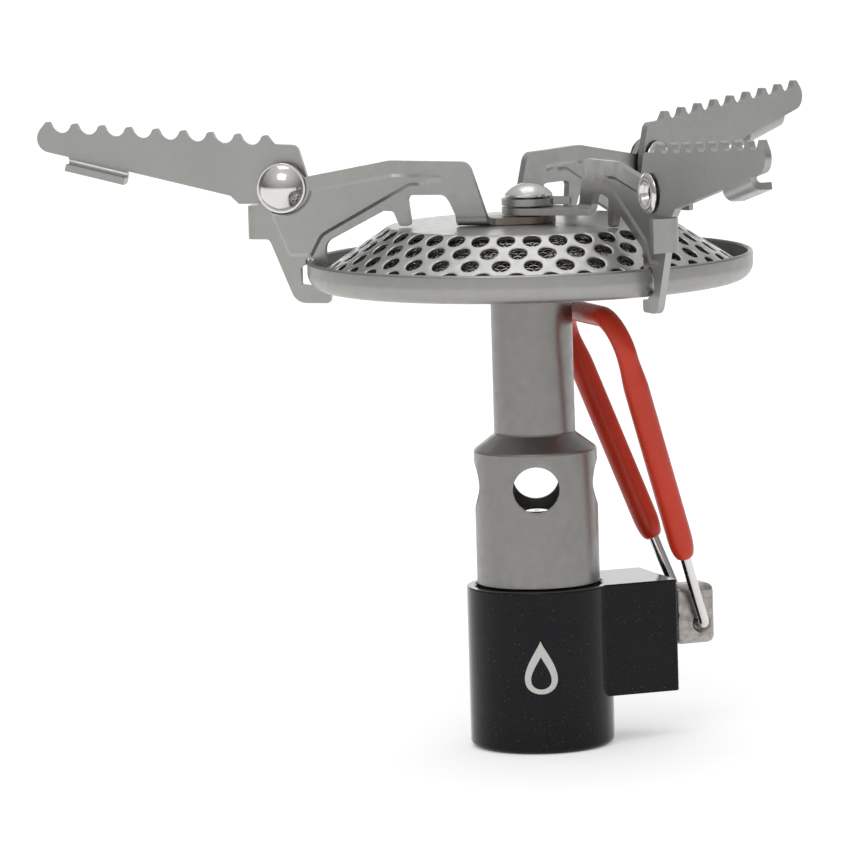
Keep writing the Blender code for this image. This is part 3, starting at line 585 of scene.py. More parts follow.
def valve_casing():
    """Round boss that carries the side block, drawn as one closed skin and then bored out."""
    foot_edge = 1.0
    meet = asin(BLOCK_HALF_Y / BODY_R)
    near = 16
    far = 80
    bm = bmesh.new()
    inner_angles = [-meet + 2 * meet * i / near for i in range(near + 1)]
    outer_angles = [meet + (2 * pi - 2 * meet) * i / far for i in range(1, far)]
    angles = inner_angles + outer_angles

    def ring(radius, z):
        return [bm.verts.new((radius * cos(a), radius * sin(a), z)) for a in angles]

    rings = [ring(r, z) for r, z in arc((BODY_R - foot_edge, foot_edge), foot_edge, -90, 0, 6)]
    rings.append(ring(BODY_R, BLOCK_BOTTOM))
    skin(bm, rings)
    bm.faces.new(rings[0][::-1])

    # above the block's underside the outline leaves the circle for the block's three sides
    base = rings[-1]
    corner = 0.45
    sides = rounded([(cos(meet) * BODY_R, -BLOCK_HALF_Y), (BLOCK_END_X, -BLOCK_HALF_Y, corner),
                     (BLOCK_END_X, BLOCK_HALF_Y, corner), (cos(meet) * BODY_R, BLOCK_HALF_Y)], closed=False)[1:-1]
    block_low = [bm.verts.new((x, y, BLOCK_BOTTOM)) for x, y in sides]
    bm.faces.new(base[:near + 1] + block_low[::-1])
    low = [base[0]] + block_low + base[near:]
    high = [bm.verts.new((v.co.x, v.co.y, BODY_TOP)) for v in low]
    skin(bm, [low, high])
    bm.faces.new(high)
    bmesh.ops.recalc_face_normals(bm, faces=bm.faces)

    def inner_corner(edge):
        """Whether the edge is where the block's underside meets the round boss."""
        return all(abs(v.co.z - BLOCK_BOTTOM) < 0.01 and abs(v.co.xy.length - BODY_R) < 0.01 for v in edge.verts)

    edges = [e for e in bm.edges if e.calc_face_angle(0) > radians(50) and e.verts[0].co.z > foot_edge
             and not inner_corner(e)]
    bmesh.ops.bevel(bm, geom=edges, offset=0.22, segments=3, affect='EDGES', profile=0.5, clamp_overlap=True)
    casing = draft("valve_casing", bm)

    lip = 0.25
    above = BODY_TOP + 1.0
    recess_r = TUBE_R + 0.3
    recess = [(0, TUBE_FOOT - 0.3), (recess_r, TUBE_FOOT - 0.3), (recess_r, BODY_TOP - lip),
              (recess_r + lip + 1.0, above), (0, above)]
    bore_out(casing, recess, 96)
    socket = [(0, -1.0), (SOCKET_R + lip + 1.0, -1.0), (SOCKET_R, lip)]
    pitch = 0.907
    depth = 0.5
    for i in range(8):
        z = lip + 0.25 + i * pitch
        socket += [(SOCKET_R, z), (SOCKET_R - depth, z + pitch * 0.4), (SOCKET_R - depth, z + pitch * 0.55)]
    socket += [(SOCKET_R - depth, SOCKET_DEPTH), (2.2, SOCKET_DEPTH), (2.2, 13.3), (0, 13.3)]
    bore_out(casing, socket, 72)
    bore = [(0, -0.2), (0.9, -0.2), (0.9, 4.5), (2.1, 4.5), (2.1, 12.0), (3.2, 12.0), (3.2, 19.0), (0, 19.0)]
    bore_out(casing, bore, 40, ALONG_X)
    holder = [(0, VALVE_Z), (0.7, VALVE_Z), (0.7, 17.9), (2.6, 17.9), (2.6, 20.5), (0, 20.5)]
    bore_out(casing, holder, 40)
    finish_piece(casing, "black", "stove_body", "valve_body")


def etched_mark():
    """Plain flame drop etched on the front of the boss: a thin band bent round the casing."""
    facing = radians(PORT_ANGLE - 90)
    middle_z = 12.2
    height = 7.4
    width = 5.0
    proud = 0.015
    sunk = 0.05

    def drop(scale):
        return [(width / 2 * scale * sin(t) * sin(t / 2) ** 1.5 * 1.3, height / 2 * scale * cos(t))
                for t in full_turn(48)]

    def on_casing(point, lift):
        side, up = point
        a = facing + side / BODY_R
        r = BODY_R + lift
        return (r * cos(a), r * sin(a), middle_z + up)

    bm = bmesh.new()
    outer = drop(1.0)
    inner = [(x, z - height * 0.10) for x, z in drop(0.62)]
    section = ((outer, proud), (inner, proud), (inner, -sunk), (outer, -sunk))
    loops = [[bm.verts.new(on_casing(p, lift)) for p in line] for line, lift in section]
    skin(bm, loops + loops[:1])
    bmesh.ops.recalc_face_normals(bm, faces=bm.faces)
    mark = draft("etched_flame_mark", bm)
    finish_piece(mark, "etch", "stove_body")


def socket_fittings():
    """Seal and hollow pin seen from below."""
    seal_r = 0.9
    section = arc((4.35, SOCKET_DEPTH - 0.3 - seal_r), seal_r, 0, 345, 23)
    turned_piece("canister_seal_ring", section, "rubber", "canister_seal", 96)
    pin = rounded([(0.4, 5.0, 0.1), (1.0, 5.0, 0.2), (1.0, 9.2), (1.9, 9.2, 0.15), (1.9, 10.8), (0.4, 10.8)])
    turned_piece("valve_pin_turned", pin, "brass", "valve_pin", 48)


def jet_parts():
    """Jet post and the jet, whose bright tip shows through the air ports."""
    holder = rounded([(0.7, 18.2), (2.3, 18.2), (2.3, 19.8), (3.6, 19.8, 0.2), (3.6, 22.4, 0.4), (2.9, 22.4, 0.2),
                      (2.9, 29.0, 0.3), (1.9, 29.0), (1.9, 25.7), (0.7, 25.7)])
    turned_piece("jet_post", holder, "brass", "jet_holder", 64)
    jet = rounded([(0.35, 26.0), (1.6, 26.0), (1.6, 29.3), (2.5, 29.3, 0.2), (2.5, 31.4, 0.3), (1.6, 32.7, 0.25),
                   (0.35, 32.7, 0.1)])
    turned_piece("jet_nozzle", jet, "polished", "jet", 64)


def spindle_parts():
    """Gland nut, needle and the milled head with its two bores."""
    nut = rounded([(2.1, 14.4), (2.9, 14.4), (2.9, 18.5), (3.9, 18.5, 0.15), (3.9, 19.2, 0.25), (2.1, 19.2, 0.15)])
    turned_piece("gland_ring", nut, "black", "gland_nut", 64, matrix=ALONG_X)
    needle = [(0, 4.0), (0.4, 4.5), (1.8, 6.6), (1.8, 21.2), (0, 21.2)]
    turned_piece("needle_rod", needle, "machined", "needle_spindle", 48, False, ALONG_X, "spindle")

    reach = 0.8
    low, high = (Vector(corner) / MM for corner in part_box("valve_head"))
    high.x += reach
    bm = bmesh.new()
    centre = Matrix.Translation((low + high) / 2)
    bmesh.ops.create_cube(bm, size=1.0, matrix=centre @ Matrix.Diagonal((*(high - low), 1.0)))
    bmesh.ops.bevel(bm, geom=bm.edges[:], offset=1.0, segments=3, affect='EDGES', profile=0.5)
    head = draft("valve_head_block", bm)
    socket = [(0, 18.0), (2.1, 18.0), (2.1, 21.5), (0, 21.5)]
    bore_out(head, socket, 40, ALONG_X)
    countersink = 0.35
    hole_r = WIRE_R + 0.3
    face_y = (high.y - low.y) / 2
    pivot = [(0, -5), (hole_r + 5 - face_y + countersink, -5), (hole_r, -face_y + countersink),
             (hole_r, face_y - countersink), (hole_r + 5 - face_y + countersink, 5), (0, 5)]
    across = Matrix.Translation((PIVOT_X * MM, 0, PIVOT_Z * MM)) @ Matrix.Rotation(radians(90), 4, 'X')
    bore_out(head, pivot, 40, across)
    soften(head, 0.12)
    finish_piece(head, "machined", "spindle", "valve_head", sliver=0.004)


# --- handle ---

def loop_half(start_height):
    """Centre line of one leg and half the top bar, as (half width, height) from that height up."""
    lean = atan2(LOOP_SPREAD, 1)
    top_half = LOOP_FOOT_HALF + LOOP_SPREAD * LOOP_HEIGHT
    reach = LOOP_CORNER * tan((pi / 2 + lean) / 2)
    centre = (top_half - reach, LOOP_HEIGHT - LOOP_CORNER)
    start = (LOOP_FOOT_HALF + LOOP_SPREAD * start_height, start_height)
    return [start] + arc(centre, LOOP_CORNER, -lean * 180 / pi, 90, 14) + [(0, LOOP_HEIGHT)]


def resampled(route, step):
    """The same line with a point at every step, so that sections can vary along it."""
    points = [Vector((0, *p)) for p in route]
    result = [points[0]]
    for a, b in zip(points, points[1:]):
        count = max(1, ceil((b - a).length / step))
        result += [a.lerp(b, i / count) for i in range(1, count + 1)]
    return result


def swept(points, walls, sides=24):
    """Carry round walls along points in the loop's plane; each wall is a function from arc length to radius."""
    bm = bmesh.new()
    lengths = [0.0]
    for a, b in zip(points, points[1:]):
        lengths.append(lengths[-1] + (b - a).length)
    tubes = []
    for wall in walls:
        rings = []
        for i, point in enumerate(points):
            tangent = (points[min(i + 1, len(points) - 1)] - points[max(i - 1, 0)]).normalized()
            normal = Vector((0, -tangent.z, tangent.y))
            radius = wall(lengths[i], lengths[-1])
            rings.append([bm.verts.new(point + radius * (cos(a) * normal + sin(a) * Vector((1, 0, 0))))
                          for a in full_turn(sides)])
        tubes.append(rings)
        skin(bm, rings)
    for end in (0, -1):
        if len(tubes) == 1:
            bm.faces.new(tubes[0][end])
        else:
            skin(bm, [rings[end] for rings in tubes])
    bmesh.ops.recalc_face_normals(bm, faces=bm.faces)
    return bm


def round_end(full, rounding, smallest):
    """Radius along a rod whose ends curve in over the rounding length."""
    def radius(along, total):
        reach = min(along, total - along)
        if reach >= rounding:
            return full
        return smallest + (full - smallest) * sqrt(1 - (1 - reach / rounding) ** 2)
    return radius


def handle():
    """Wire loop hinged in the head, and the dipped sleeve over it."""
    place = Matrix.Translation((PIVOT_X * MM, 0, PIVOT_Z * MM)) @ Matrix.Rotation(-radians(LOOP_TILT), 4, 'Y')
    turn_in = 1.6
    foot = rounded([(0.35, 0), (LOOP_FOOT_HALF + 0.1, 0, turn_in * 0.6), (LOOP_FOOT_HALF + LOOP_SPREAD * 4, 4)],
                   closed=False)
    half = foot + loop_half(4.0)[1:]
    route = half[:-1] + [(-y, h) for y, h in reversed(half)]
    wire = swept(resampled(route, 1.0), [round_end(WIRE_R, 0.15, WIRE_R - 0.15)])
    finish_piece(draft("handle_loop_wire", wire, place), "polished", "handle", "handle_wire")

    front = [(-y, h) for y, h in loop_half(SLEEVE_START[0])]
    rear = loop_half(SLEEVE_START[1])
    points = resampled(front[:-1] + list(reversed(rear[:-1])), 0.25)
    bore = WIRE_R + 0.05
    rounding = 3.4
    leg = 26.0
    fade = 5.0

    def outside(along, total):
        """The dip is fuller down the legs than over the top bar, and rounds off at its drip ends."""
        reach = min(along, total - along)
        thinning = min(1.0, max(0.0, (reach - leg) / fade))
        full = SLEEVE_LEG_R + (SLEEVE_BAR_R - SLEEVE_LEG_R) * thinning ** 2 * (3 - 2 * thinning)
        return round_end(full, rounding, bore + 0.12)(along, total)

    sleeve = swept(points, [outside, lambda along, total: bore])
    finish_piece(draft("handle_dipped_sleeve", sleeve, place), "vinyl", "handle", "handle_sleeve")


# --- tube, stem and burner ---

def mixing_tube():
    """Turned tube with round air ports, a coned shoulder and the stem."""
    shoulder = BOWL_BOTTOM - 0.3
    foot_r = TUBE_R - TUBE_UNDERCUT
    profile = rounded([(foot_r, TUBE_FOOT, 0.15), (foot_r, BODY_TOP, 0.1), (TUBE_R, BODY_TOP + TUBE_UNDERCUT, 0.1),
                       (TUBE_R, TUBE_TOP, 0.6), (STEM_R, STEM_FOOT, 0.5), (STEM_R, shoulder, 0.15), (NECK_R, shoulder),
                       (NECK_R, NECK_TOP, 0.15), (4.2, NECK_TOP, 0.15), (4.2, shoulder - 0.6),
                       (STEM_BORE, shoulder - 0.6), (STEM_BORE, STEM_FOOT + 0.4, 0.5),
                       (TUBE_BORE, TUBE_TOP + 0.2, 0.5), (TUBE_BORE, TUBE_FOOT, 0.15)])
    tube = draft("mixing_tube_turned", turned(profile, 120))
    for k in range(2):
        turn = Matrix.Rotation(radians(PORT_ANGLE + 90 * k), 4, 'Z') @ Matrix.Rotation(radians(90), 4, 'Y')
        place = Matrix.Translation((0, 0, PORT_Z * MM)) @ turn
        bore_out(tube, [(0, -12), (PORT_R, -12), (PORT_R, 12), (0, 12)], 64, place)
    soften(tube, 0.12)
    finish_piece(tube, "tube", "stove_body", "mixing_tube")


def burner_bowl():
    """Pressed dish with a rolled-smooth rim."""
    corner = (BOWL_R - BOWL_CORNER, BOWL_BOTTOM + BOWL_CORNER)
    outside = arc(corner, BOWL_CORNER, -90, 0, 12)
    inside = arc(corner, BOWL_CORNER - BOWL_WALL, 0, -90, 12)
    rim = arc((BOWL_R - BOWL_WALL / 2, BOWL_RIM - BOWL_WALL / 2), BOWL_WALL / 2, 0, 180, 8)
    hole = NECK_R + 0.3
    profile = [(hole, BOWL_BOTTOM)] + outside + rim + inside + [(hole, BOWL_BOTTOM + BOWL_WALL)]
    turned_piece("burner_bowl_pressed", profile, "bowl", "burner_bowl", 144)
    floor = BOWL_BOTTOM + BOWL_WALL + 0.3
    nut = rounded([(hole, floor), (7.6, floor), (7.6, floor + 1.5, 0.3), (hole, floor + 1.5, 0.2)])
    turned_piece("bowl_clamp_nut", nut, "tube", "bowl_nut", 72)


def cap_height(radius):
    """Height of the cap's outer surface at a radius, with the flat blended into the cone."""
    cone = CAP_EDGE_Z + (CAP_EDGE_R - radius) * CAP_SLOPE
    blend = 0.12
    gap = (CAP_TOP - cone) / blend
    if gap > 3:
        return cone
    if gap < -3:
        return CAP_TOP
    return CAP_TOP - blend * 0.5 * (gap + sqrt(gap * gap + 0.25)) + blend * 0.02


def burner_cap():
    """Perforated cap: each port sits in its own diamond of the staggered lattice, punched slightly inwards."""
    columns = 2 * FLAME_PORTS
    slope = atan2(CAP_SLOPE, 1)
    per_side = 6
    around = 4 * per_side
    bm = bmesh.new()

    def place(radius, angle, up=0.0, side=0.0, drop=0.0):
        r = radius - up * cos(slope)
        z = cap_height(r)
        a = angle + side / r
        r -= drop * sin(slope)
        return bm.verts.new((r * cos(a), r * sin(a), z - drop * cos(slope)))

    def row_radius(i):
        if i == FLAME_ROWS:
            return FLAME_FIRST_ROW_R + (i - 0.45) * FLAME_ROW_PITCH
        return FLAME_FIRST_ROW_R + i * FLAME_ROW_PITCH

    def edge_points(start, end):
        """Places along one side of a diamond, from lattice point to lattice point, without the last."""
        (r0, k0), (r1, k1) = start, end
        return [(r0 + (r1 - r0) * j / per_side, k0 + (k1 - k0) * j / per_side) for j in range(per_side)]

    def lip(i, k, corners):
        """The skin from a diamond's sides in to the port's punched edge."""
        boundary = []
        for start, end in zip(corners, corners[1:] + corners[:1]):
            boundary += edge_points(start, end)
        radius = row_radius(i)
        angle = 2 * pi * k / columns
        turns = [pi / 2 - 2 * pi * j / around for j in range(around)]
        steps = 5 if i == 0 else 1
        rings = []
        for step in range(steps):
            points = []
            for (r, c), t in zip(boundary, turns):
                side = -LIP_R * cos(t)
                lip_r = radius - LIP_R * sin(t) * cos(slope)
                far = 2 * pi * c / columns
                near = angle + side / lip_r
                points.append(place(r + (lip_r - r) * step / steps, far + (near - far) * step / steps))
            rings.append(points)
        for wider, drop in ((LIP_R, 0.0), (1.30, 0.02), (1.23, 0.07), (FLAME_PORT_R, 0.14)):
            rings.append([place(radius, angle, wider * sin(t), -wider * cos(t), drop) for t in turns])
        skin(bm, rings)

    for i in range(FLAME_ROWS):
        for k in range(columns):
            if (k + i) % 2:
                continue
            above = (row_radius(i - 1), k)
            below = (row_radius(i + 1), k)
            lip(i, k, [above, (row_radius(i), k - 1), below, (row_radius(i), k + 1)])

    def fan(i, other, k):
        """Half diamond between a border circle and the two diamonds beside it."""
        tip = (row_radius(i), k)
        left, right = (row_radius(other), k - 1), (row_radius(other), k + 1)
        near = edge_points(left, tip) + edge_points(tip, right) + [right]
        border = [(row_radius(other), k - 1 + j / per_side) for j in range(2 * per_side + 1)]
        steps = 5
        rows = []
        for step in range(steps + 1):
            rows.append([place(r0 + (r1 - r0) * step / steps, 2 * pi * (c0 + (c1 - c0) * step / steps) / columns)
                         for (r0, c0), (r1, c1) in zip(near, border)])
        skin(bm, rows, ring=False)

    for k in range(columns):
        if k % 2 == 1:
            fan(0, -1, k)
        if (k + FLAME_ROWS - 1) % 2 == 1:
            fan(FLAME_ROWS - 1, FLAME_ROWS, k)

    def circle(radius, z=None):
        return [bm.verts.new((radius * cos(a), radius * sin(a), cap_height(radius) if z is None else z))
                for a in full_turn(columns * per_side)]

    flats = [circle(r, CAP_TOP) for r in (RING_HOLE_R, 6.0, 12.0, 17.0)] + [circle(row_radius(-1))]
    skirt = [circle(row_radius(FLAME_ROWS)), circle(CAP_EDGE_R - 0.25), circle(CAP_EDGE_R, CAP_EDGE_Z - 0.15),
             circle(CAP_EDGE_R, CAP_EDGE_Z - 0.7)]
    skin(bm, flats)
    skin(bm, skirt)

    bmesh.ops.remove_doubles(bm, verts=bm.verts, dist=0.004)
    face_way(bm, (0, 0, 1))
    cap = draft("burner_cap_perforated", bm)
    thicken(cap, CAP_WALL - 0.1)
    finish_piece(cap, "cap", "stove_body", "burner_cap")


def flame_screen():
    """Woven wire screen close under the ports: wires round the cone and wires down it, over and under."""
    wire_r = 0.13
    wave = 0.12
    drop = 1.15
    rounds = 18
    spokes = 200
    sides = 5
    inner = 18.4
    outer = 28.0
    bm = bmesh.new()

    def surface(radius):
        return min(CAP_TOP - 1.2, CAP_EDGE_Z + (CAP_EDGE_R - radius) * CAP_SLOPE - drop)

    def strand(centres, ends_meet):
        rings = []
        count = len(centres)
        for i, centre in enumerate(centres):
            if ends_meet:
                ahead, back = centres[(i + 1) % count], centres[i - 1]
            else:
                ahead, back = centres[min(i + 1, count - 1)], centres[max(i - 1, 0)]
            tangent = (ahead - back).normalized()
            side = tangent.cross(Vector((0, 0, 1))).normalized()
            up = side.cross(tangent)
            rings.append([bm.verts.new(centre + wire_r * (cos(a) * side + sin(a) * up)) for a in full_turn(sides)])
        skin(bm, rings + rings[:1] if ends_meet else rings)
        if not ends_meet:
            bm.faces.new(rings[0])
            bm.faces.new(rings[-1])

    radii = [inner + (outer - inner) * i / (rounds - 1) for i in range(rounds)]
    angles = full_turn(spokes)
    for i, r in enumerate(radii):
        strand([Vector((r * cos(a), r * sin(a), surface(r) + wave * (-1) ** (i + k)))
                for k, a in enumerate(angles)], True)
    for k, a in enumerate(angles):
        strand([Vector((r * cos(a), r * sin(a), surface(r) - wave * (-1) ** (i + k)))
                for i, r in enumerate(radii)], False)
    bmesh.ops.recalc_face_normals(bm, faces=bm.faces)
    screen = draft("flame_screen_woven", bm)
    finish_piece(screen, "screen", "stove_body", "flame_screen", sharp=80)


def centre_screw():
    """Domed screw head over the three rings."""
    low, high = span("centre_screw", 2)
    seat = high - 1.9
    head_r = 3.3
    rim = 0.35
    top = dome(head_r, high, high - seat - rim, 16)
    edge = rounded([(1.4, seat), (head_r, seat, 0.12), (head_r, seat + rim, 0.06), top[1]], closed=False)
    profile = [(0, low), (1.4, low)] + edge[:-1] + top[1:]
    turned_piece("centre_screw_domed", profile, "screw", "centre_screw", 96, False)


# --- pot supports ---
# Each support is drawn in its own axes: s runs out along the arm, n across it, z up.

RIVET_HOLE = arc((RIVET_S, RIVET_Z), RIVET_HOLE_R, 0, 345, 23)


def support_body(name):
    """Body of an arm and its rivet; the fixed ones are part of the stove."""
    return "stove_body" if name == "fixed" else f"{name}_support"


def pressed_piece(name, bm, support, edge_r, look, body, node):
    """Sheet part of a support: turned to its direction, thickened and rounded at its edges."""
    obj = draft(name, bm, Matrix.Rotation(radians(SUPPORTS[support]), 4, 'Z'))
    thicken(obj, SHEET)
    soften(obj, edge_r, 50)
    finish_piece(obj, look, body, node, sharp=20)


def flat_faces(bm, vertices, lines):
    """Faces over the area inside the first line and outside the others, merged where they lie in one plane."""
    made = [bm.faces.new([vertices[i] for i in triangle]) for triangle in tessellate_polygon(lines)]
    bm.normal_update()
    inner = dict.fromkeys(edge for face in made for edge in face.edges if len(edge.link_faces) == 2
                          and all(f in made for f in edge.link_faces))
    bmesh.ops.dissolve_limit(bm, angle_limit=radians(0.2), verts=[], edges=list(inner))


def fill(bm, loops, at):
    """Fill the area inside the first loop and outside the others with faces; returns the loops' vertices."""
    made = [[bm.verts.new(at(p)) for p in loop] for loop in loops]
    flat_faces(bm, [v for loop in made for v in loop], [[Vector((*p, 0)) for p in loop] for loop in loops])
    return made


def close(bm, loop):
    """Fill a loop of vertices that lie about in one plane across n."""
    flat_faces(bm, loop, [[Vector((v.co.x, v.co.z, 0)) for v in loop]])


def web_n(s):
    """Place of an arm's web across n; the web leans out towards its inner end."""
    return WEB_N + WEB_LEAN * (RIVET_S - s)


def web_corners(foot):
    """Corners of an arm's web with their radii, from the left end of its foot bend round to the right end."""
    up = foot - RING_Z - BEND_R
    left = 4.6 + up * 0.33
    right = 8.9 + up * 0.46
    corners = [(left, foot), (6.95, 81.6, 1.6), (18.3, 81.85, 2.5), (30.5, 79.65)]
    corners += arc((RIVET_S, RIVET_Z), 3.0, 130, -35, 16)
    corners += [(PLATE_S - BEND_R, 75.65), (PLATE_S - BEND_R, 71.1), (35.6, 71.1, 0.8)]
    corners += [(32.0, 62.25, 2.2), (27.05, 62.2, 0.6), (27.1, 63.9, 0.3), (28.5, 63.95, 0.4), (29.7, 64.65, 0.4)]
    corners += [(31.2, 64.85, 0.15), (31.2, 67.25, 0.4), (30.5, 67.5, 0.2)]
    corners += [(30.45, 68.4, 0.3), (29.15, 68.4, 0.4), (29.1, 67.05, 0.15), (28.2, 67.05, 0.4), (27.6, 67.6, 0.15)]
    corners += [(27.6, 70.65, 1.6), (19.2, 74.95, 0.6), (17.75, 74.9, 0.5)]
    corners += [(16.9, 72.85, 0.55), (15.25, 72.85, 0.5), (15.75, 77.1, 0.7), (10.4, 77.1, 1.2)]
    knee = (9.75, 76.1, 0.5)
    if foot < knee[1]:
        corners.append(knee)
    return corners + [(right, foot)]


def panel_corners():
    """Corners of the pressed panel's outer edge, anticlockwise, with a cut where its inner end starts to fade."""
    corners = [(17.85, 80.05, 2.0), (PANEL_FADE_S, 79.99), (10.3, 79.95, 0.6), (10.3, 78.4, 0.6), (PANEL_FADE_S, 78.4),
               (15.2, 78.4, 2.0), (27.9, 71.5, 2.2), (29.4, 68.7, 0.6), (32.85, 68.7, 0.6), (35.2, 74.3, 0.8)]
    return corners + arc((RIVET_S, RIVET_Z), 3.9, -58, -170, 16)


def drawn_in(corners, amount):
    """Anticlockwise corners moved inwards by a distance, with their radii kept parallel."""
    moved = []
    for i, corner in enumerate(corners):
        here = Vector(corner[:2])
        before = (here - Vector(corners[i - 1][:2])).normalized()
        after = (Vector(corners[(i + 1) % len(corners)][:2]) - here).normalized()
        inward = Vector((-before.y - after.y, before.x + after.x)).normalized()
        point = here + inward * (amount / inward.dot(Vector((-before.y, before.x))))
        radius = corner[2] if len(corner) > 2 else 0.0
        if radius:
            radius += -amount if before.cross(after) > 0 else amount
        moved.append((point.x, point.y, radius))
    return moved


def tangent_angle(point, radius, side):
    """Angle on a circle about the origin where a line from the point touches it, in degrees."""
    reach = acos(radius / hypot(*point))
    return (atan2(point[1], point[0]) + side * reach) * 180 / pi


def strip(bm, start, places):
    """Carry a row of vertices through a list of functions, leaving quads behind."""
    row = start
    for move in places:
        following = [bm.verts.new(move(v.co)) for v in start]
        for j in range(len(row) - 1):
            bm.faces.new((row[j], following[j], following[j + 1], row[j + 1]))
        row = following
    return row


def support_arm(name):
    """Pressed arm: pivot ring, tongue, upright web with its raised panel, hook and stop plate."""
    flare = 1.0
    ring_z = RING_Z + RING_PITCH * list(SUPPORTS).index(name)
    foot = ring_z + BEND_R
    bm = bmesh.new()
    outline = rounded(web_corners(foot))
    raised = 0.24
    slope = 0.45
    web, _, low = fill(bm, [outline, RIVET_HOLE, rounded(panel_corners())], lambda p: (p[0], web_n(p[0]), p[1]))
    inner = rounded(drawn_in(panel_corners(), slope))
    fade_end = 10.3 + slope
    rise = [raised * min(1.0, max(0.0, (p[0] - fade_end) / (PANEL_FADE_S - fade_end))) for p in inner]
    high = [bm.verts.new((p[0], web_n(p[0]) + lift, p[1])) for p, lift in zip(inner, rise)]
    skin(bm, [low, high])
    cuts = [i for i, p in enumerate(inner) if abs(p[0] - PANEL_FADE_S) < 0.05]
    close(bm, high[cuts[0]:cuts[1] + 1])
    close(bm, high[cuts[1]:] + high[:cuts[0] + 1])

    def bend(steps, turn):
        """Places round the foot bend."""
        def at(a):
            inward = BEND_R * (1 - cos(a))
            z = foot - BEND_R * sin(a)
            return lambda co: (co.x - flare * (1 - cos(a)) * (co.x < outline[0][0] + 0.1), co.y - inward, z)
        return [at(radians(turn * i / steps)) for i in range(1, steps + 1)]

    ends = [web[0], web[-1]]
    row = strip(bm, ends, bend(8, 90))
    near = (row[0].co.x, row[0].co.y)
    far = (row[1].co.x, row[1].co.y)
    start = tangent_angle(far, RING_R, -1)
    end = tangent_angle(near, RING_R, 1)
    rim = arc((0, 0), RING_R, start, end - 360, 44)
    if name == "back":
        left, right = arc((0, 0), 6.2, -44, -66, 1)
        lug = rounded([(3.2, -1.9), (*left, 0.4), (*right, 0.4), (1.0, -3.56)], closed=False)
        rim = lug + [p for p in rim if not radians(-78) < atan2(p[1], p[0]) < radians(20)]
    bore = arc((0, 0), RING_HOLE_R, 0, 350, 35)
    made = fill(bm, [[near, far] + rim, bore], lambda p: (*p, ring_z))
    bmesh.ops.remove_doubles(bm, verts=row + made[0][:2], dist=0.001)

    plate = [v for v in web if abs(v.co.x - (PLATE_S - BEND_R)) < 0.001]
    plate.sort(key=lambda v: v.co.z)
    points = arc((PLATE_S - BEND_R, web_n(PLATE_S - BEND_R) - BEND_R), BEND_R, 75, 0, 5) + [(PLATE_S, 1.0)]
    strip(bm, plate, [lambda co, p=p: (p[0], p[1], co.z) for p in points])

    face_way(bm, (0, 1, 0))
    # the fixed arm's ring lies lowest, under the other two; its brown is heat tint and painted shade
    look = "tinted_sheet" if name == "fixed" else "sheet"
    pressed_piece(f"{name}_arm_pressed", bm, name, 0.18, look, support_body(name), f"{name}_arm")


def blade_outline():
    """Side view of a blade: pivot corner, lower edge, tip and the row of round valleys."""
    corners = [(30.2, 78.3, 2.0), (30.3, 75.95, 1.2), (40.1, 75.95, 0.3), (41.3, 77.1, 0.5)]
    corners += [(56.0, 80.627), (64.4, 82.678)]
    corners += arc((66.9, 85.35), 1.97, -70, 42, 12)
    run = (TOOTH_LAST[0] - TOOTH_FIRST[0]) / (TOOTH_COUNT - 1)
    rise = (TOOTH_LAST[1] - TOOTH_FIRST[1]) / (TOOTH_COUNT - 1)
    valley_r = 1.47
    lift = 0.04
    half_tip = 0.25
    for i in reversed(range(TOOTH_COUNT)):
        tip = (TOOTH_FIRST[0] + run * i, TOOTH_FIRST[1] + rise * i)
        corners += [(tip[0] + half_tip, tip[1], 0.2), (tip[0] - half_tip, tip[1], 0.2)]
        if i > 0:
            centre = (tip[0] - run / 2, tip[1] - rise / 2 + lift)
            corners += arc(centre, valley_r, -15, -165, 12)
    corners += [(34.9, 84.15, 0.5), (31.6, 84.0, 1.2), (30.4, 79.9)]
    return rounded(corners)


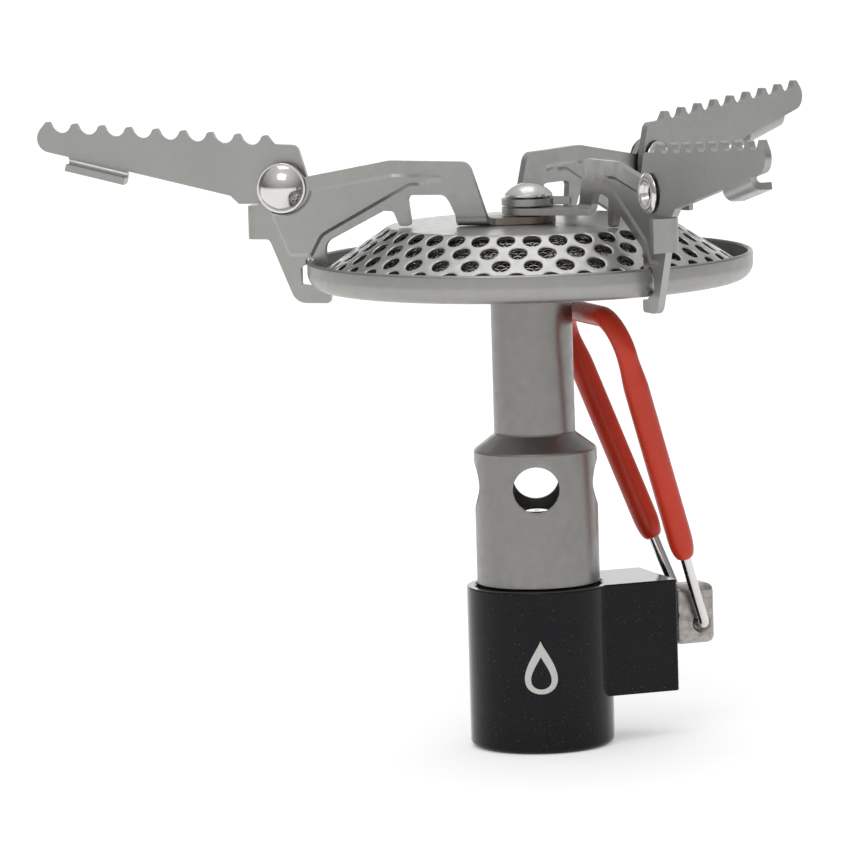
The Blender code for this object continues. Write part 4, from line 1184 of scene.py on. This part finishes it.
def support_blade(name):
    """Serrated blade with the curled flange under its tip."""
    bm = bmesh.new()
    edge, _ = fill(bm, [blade_outline(), RIVET_HOLE], lambda p: (p[0], BLADE_N, p[1]))
    flange_r = 1.7
    ends = sorted((v for v in edge if v.co.z < 83 and 55.9 < v.co.x < 64.5), key=lambda v: v.co.x)
    points = arc((flange_r, 0), flange_r, 170, 90, 8) + [(3.1, flange_r)]
    strip(bm, [ends[0], ends[-1]], [lambda co, p=p: (co.x, BLADE_N + p[0], co.z - p[1]) for p in points])
    face_way(bm, (0, -1, 0))
    pressed_piece(f"{name}_blade_serrated", bm, name, 0.16, "sheet", f"{name}_pot_blade", f"{name}_blade")


def support_rivet(name):
    """Domed head with a thin lip outside the web, and the rolled hollow tail on the blade."""
    seat = WEB_N + 0.25
    tail = BLADE_N - 0.25
    lip_r = 3.48
    lip = 0.2
    head_r = 3.17
    rise = 1.8
    droop = Vector((0.2, -0.45))
    top = dome(head_r, seat + lip + rise, rise, 18)
    head = rounded([(0, seat), (lip_r, seat, 0.1), (lip_r, seat + lip, 0.12), top[0]], closed=False)
    shank = rounded([(0, tail + 2.5), (1.05, tail + 2.5, 0.2), (1.05, tail + 0.5, 0.5), (1.7, tail - 0.5, 0.3),
                     (2.3, tail - 0.5, 0.3), (2.75, tail - 0.2, 0.2), (2.75, tail, 0.1), (1.35, tail),
                     (1.35, seat + 0.1), (0, seat + 0.1)], closed=False)
    bm = turned(head + top[1:], 72, ring=False)
    bmesh.ops.translate(bm, vec=(droop.x, -droop.y, 0), verts=bm.verts)
    rod = turned(shank, 48, ring=False)
    mesh = bpy.data.meshes.new("rod")
    rod.to_mesh(mesh)
    rod.free()
    bm.from_mesh(mesh)
    bpy.data.meshes.remove(mesh)
    place = Matrix.Translation((RIVET_S * MM, 0, RIVET_Z * MM)) @ Matrix.Rotation(radians(-90), 4, 'X')
    rivet = draft(f"{name}_rivet_domed", bm, Matrix.Rotation(radians(SUPPORTS[name]), 4, 'Z') @ place)
    finish_piece(rivet, "polished", support_body(name), f"{name}_rivet")


# --- carried-over pieces ---

def repaint_carried_over():
    """The pieces sealed inside keep their solids and get a procedural material."""
    for node, look in (("gas_filter", "bronze"), ("spindle_seal", "rubber"), ("burner_post", "tube")):
        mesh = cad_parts[node].data
        mesh.materials.clear()
        mesh.materials.append(LOOKS[look].material)


camera()
studio()
valve_casing()
etched_mark()
socket_fittings()
jet_parts()
spindle_parts()
handle()
mixing_tube()
burner_bowl()
burner_cap()
flame_screen()
centre_screw()
for support in SUPPORTS:
    support_arm(support)
    support_blade(support)
    support_rivet(support)
repaint_carried_over()
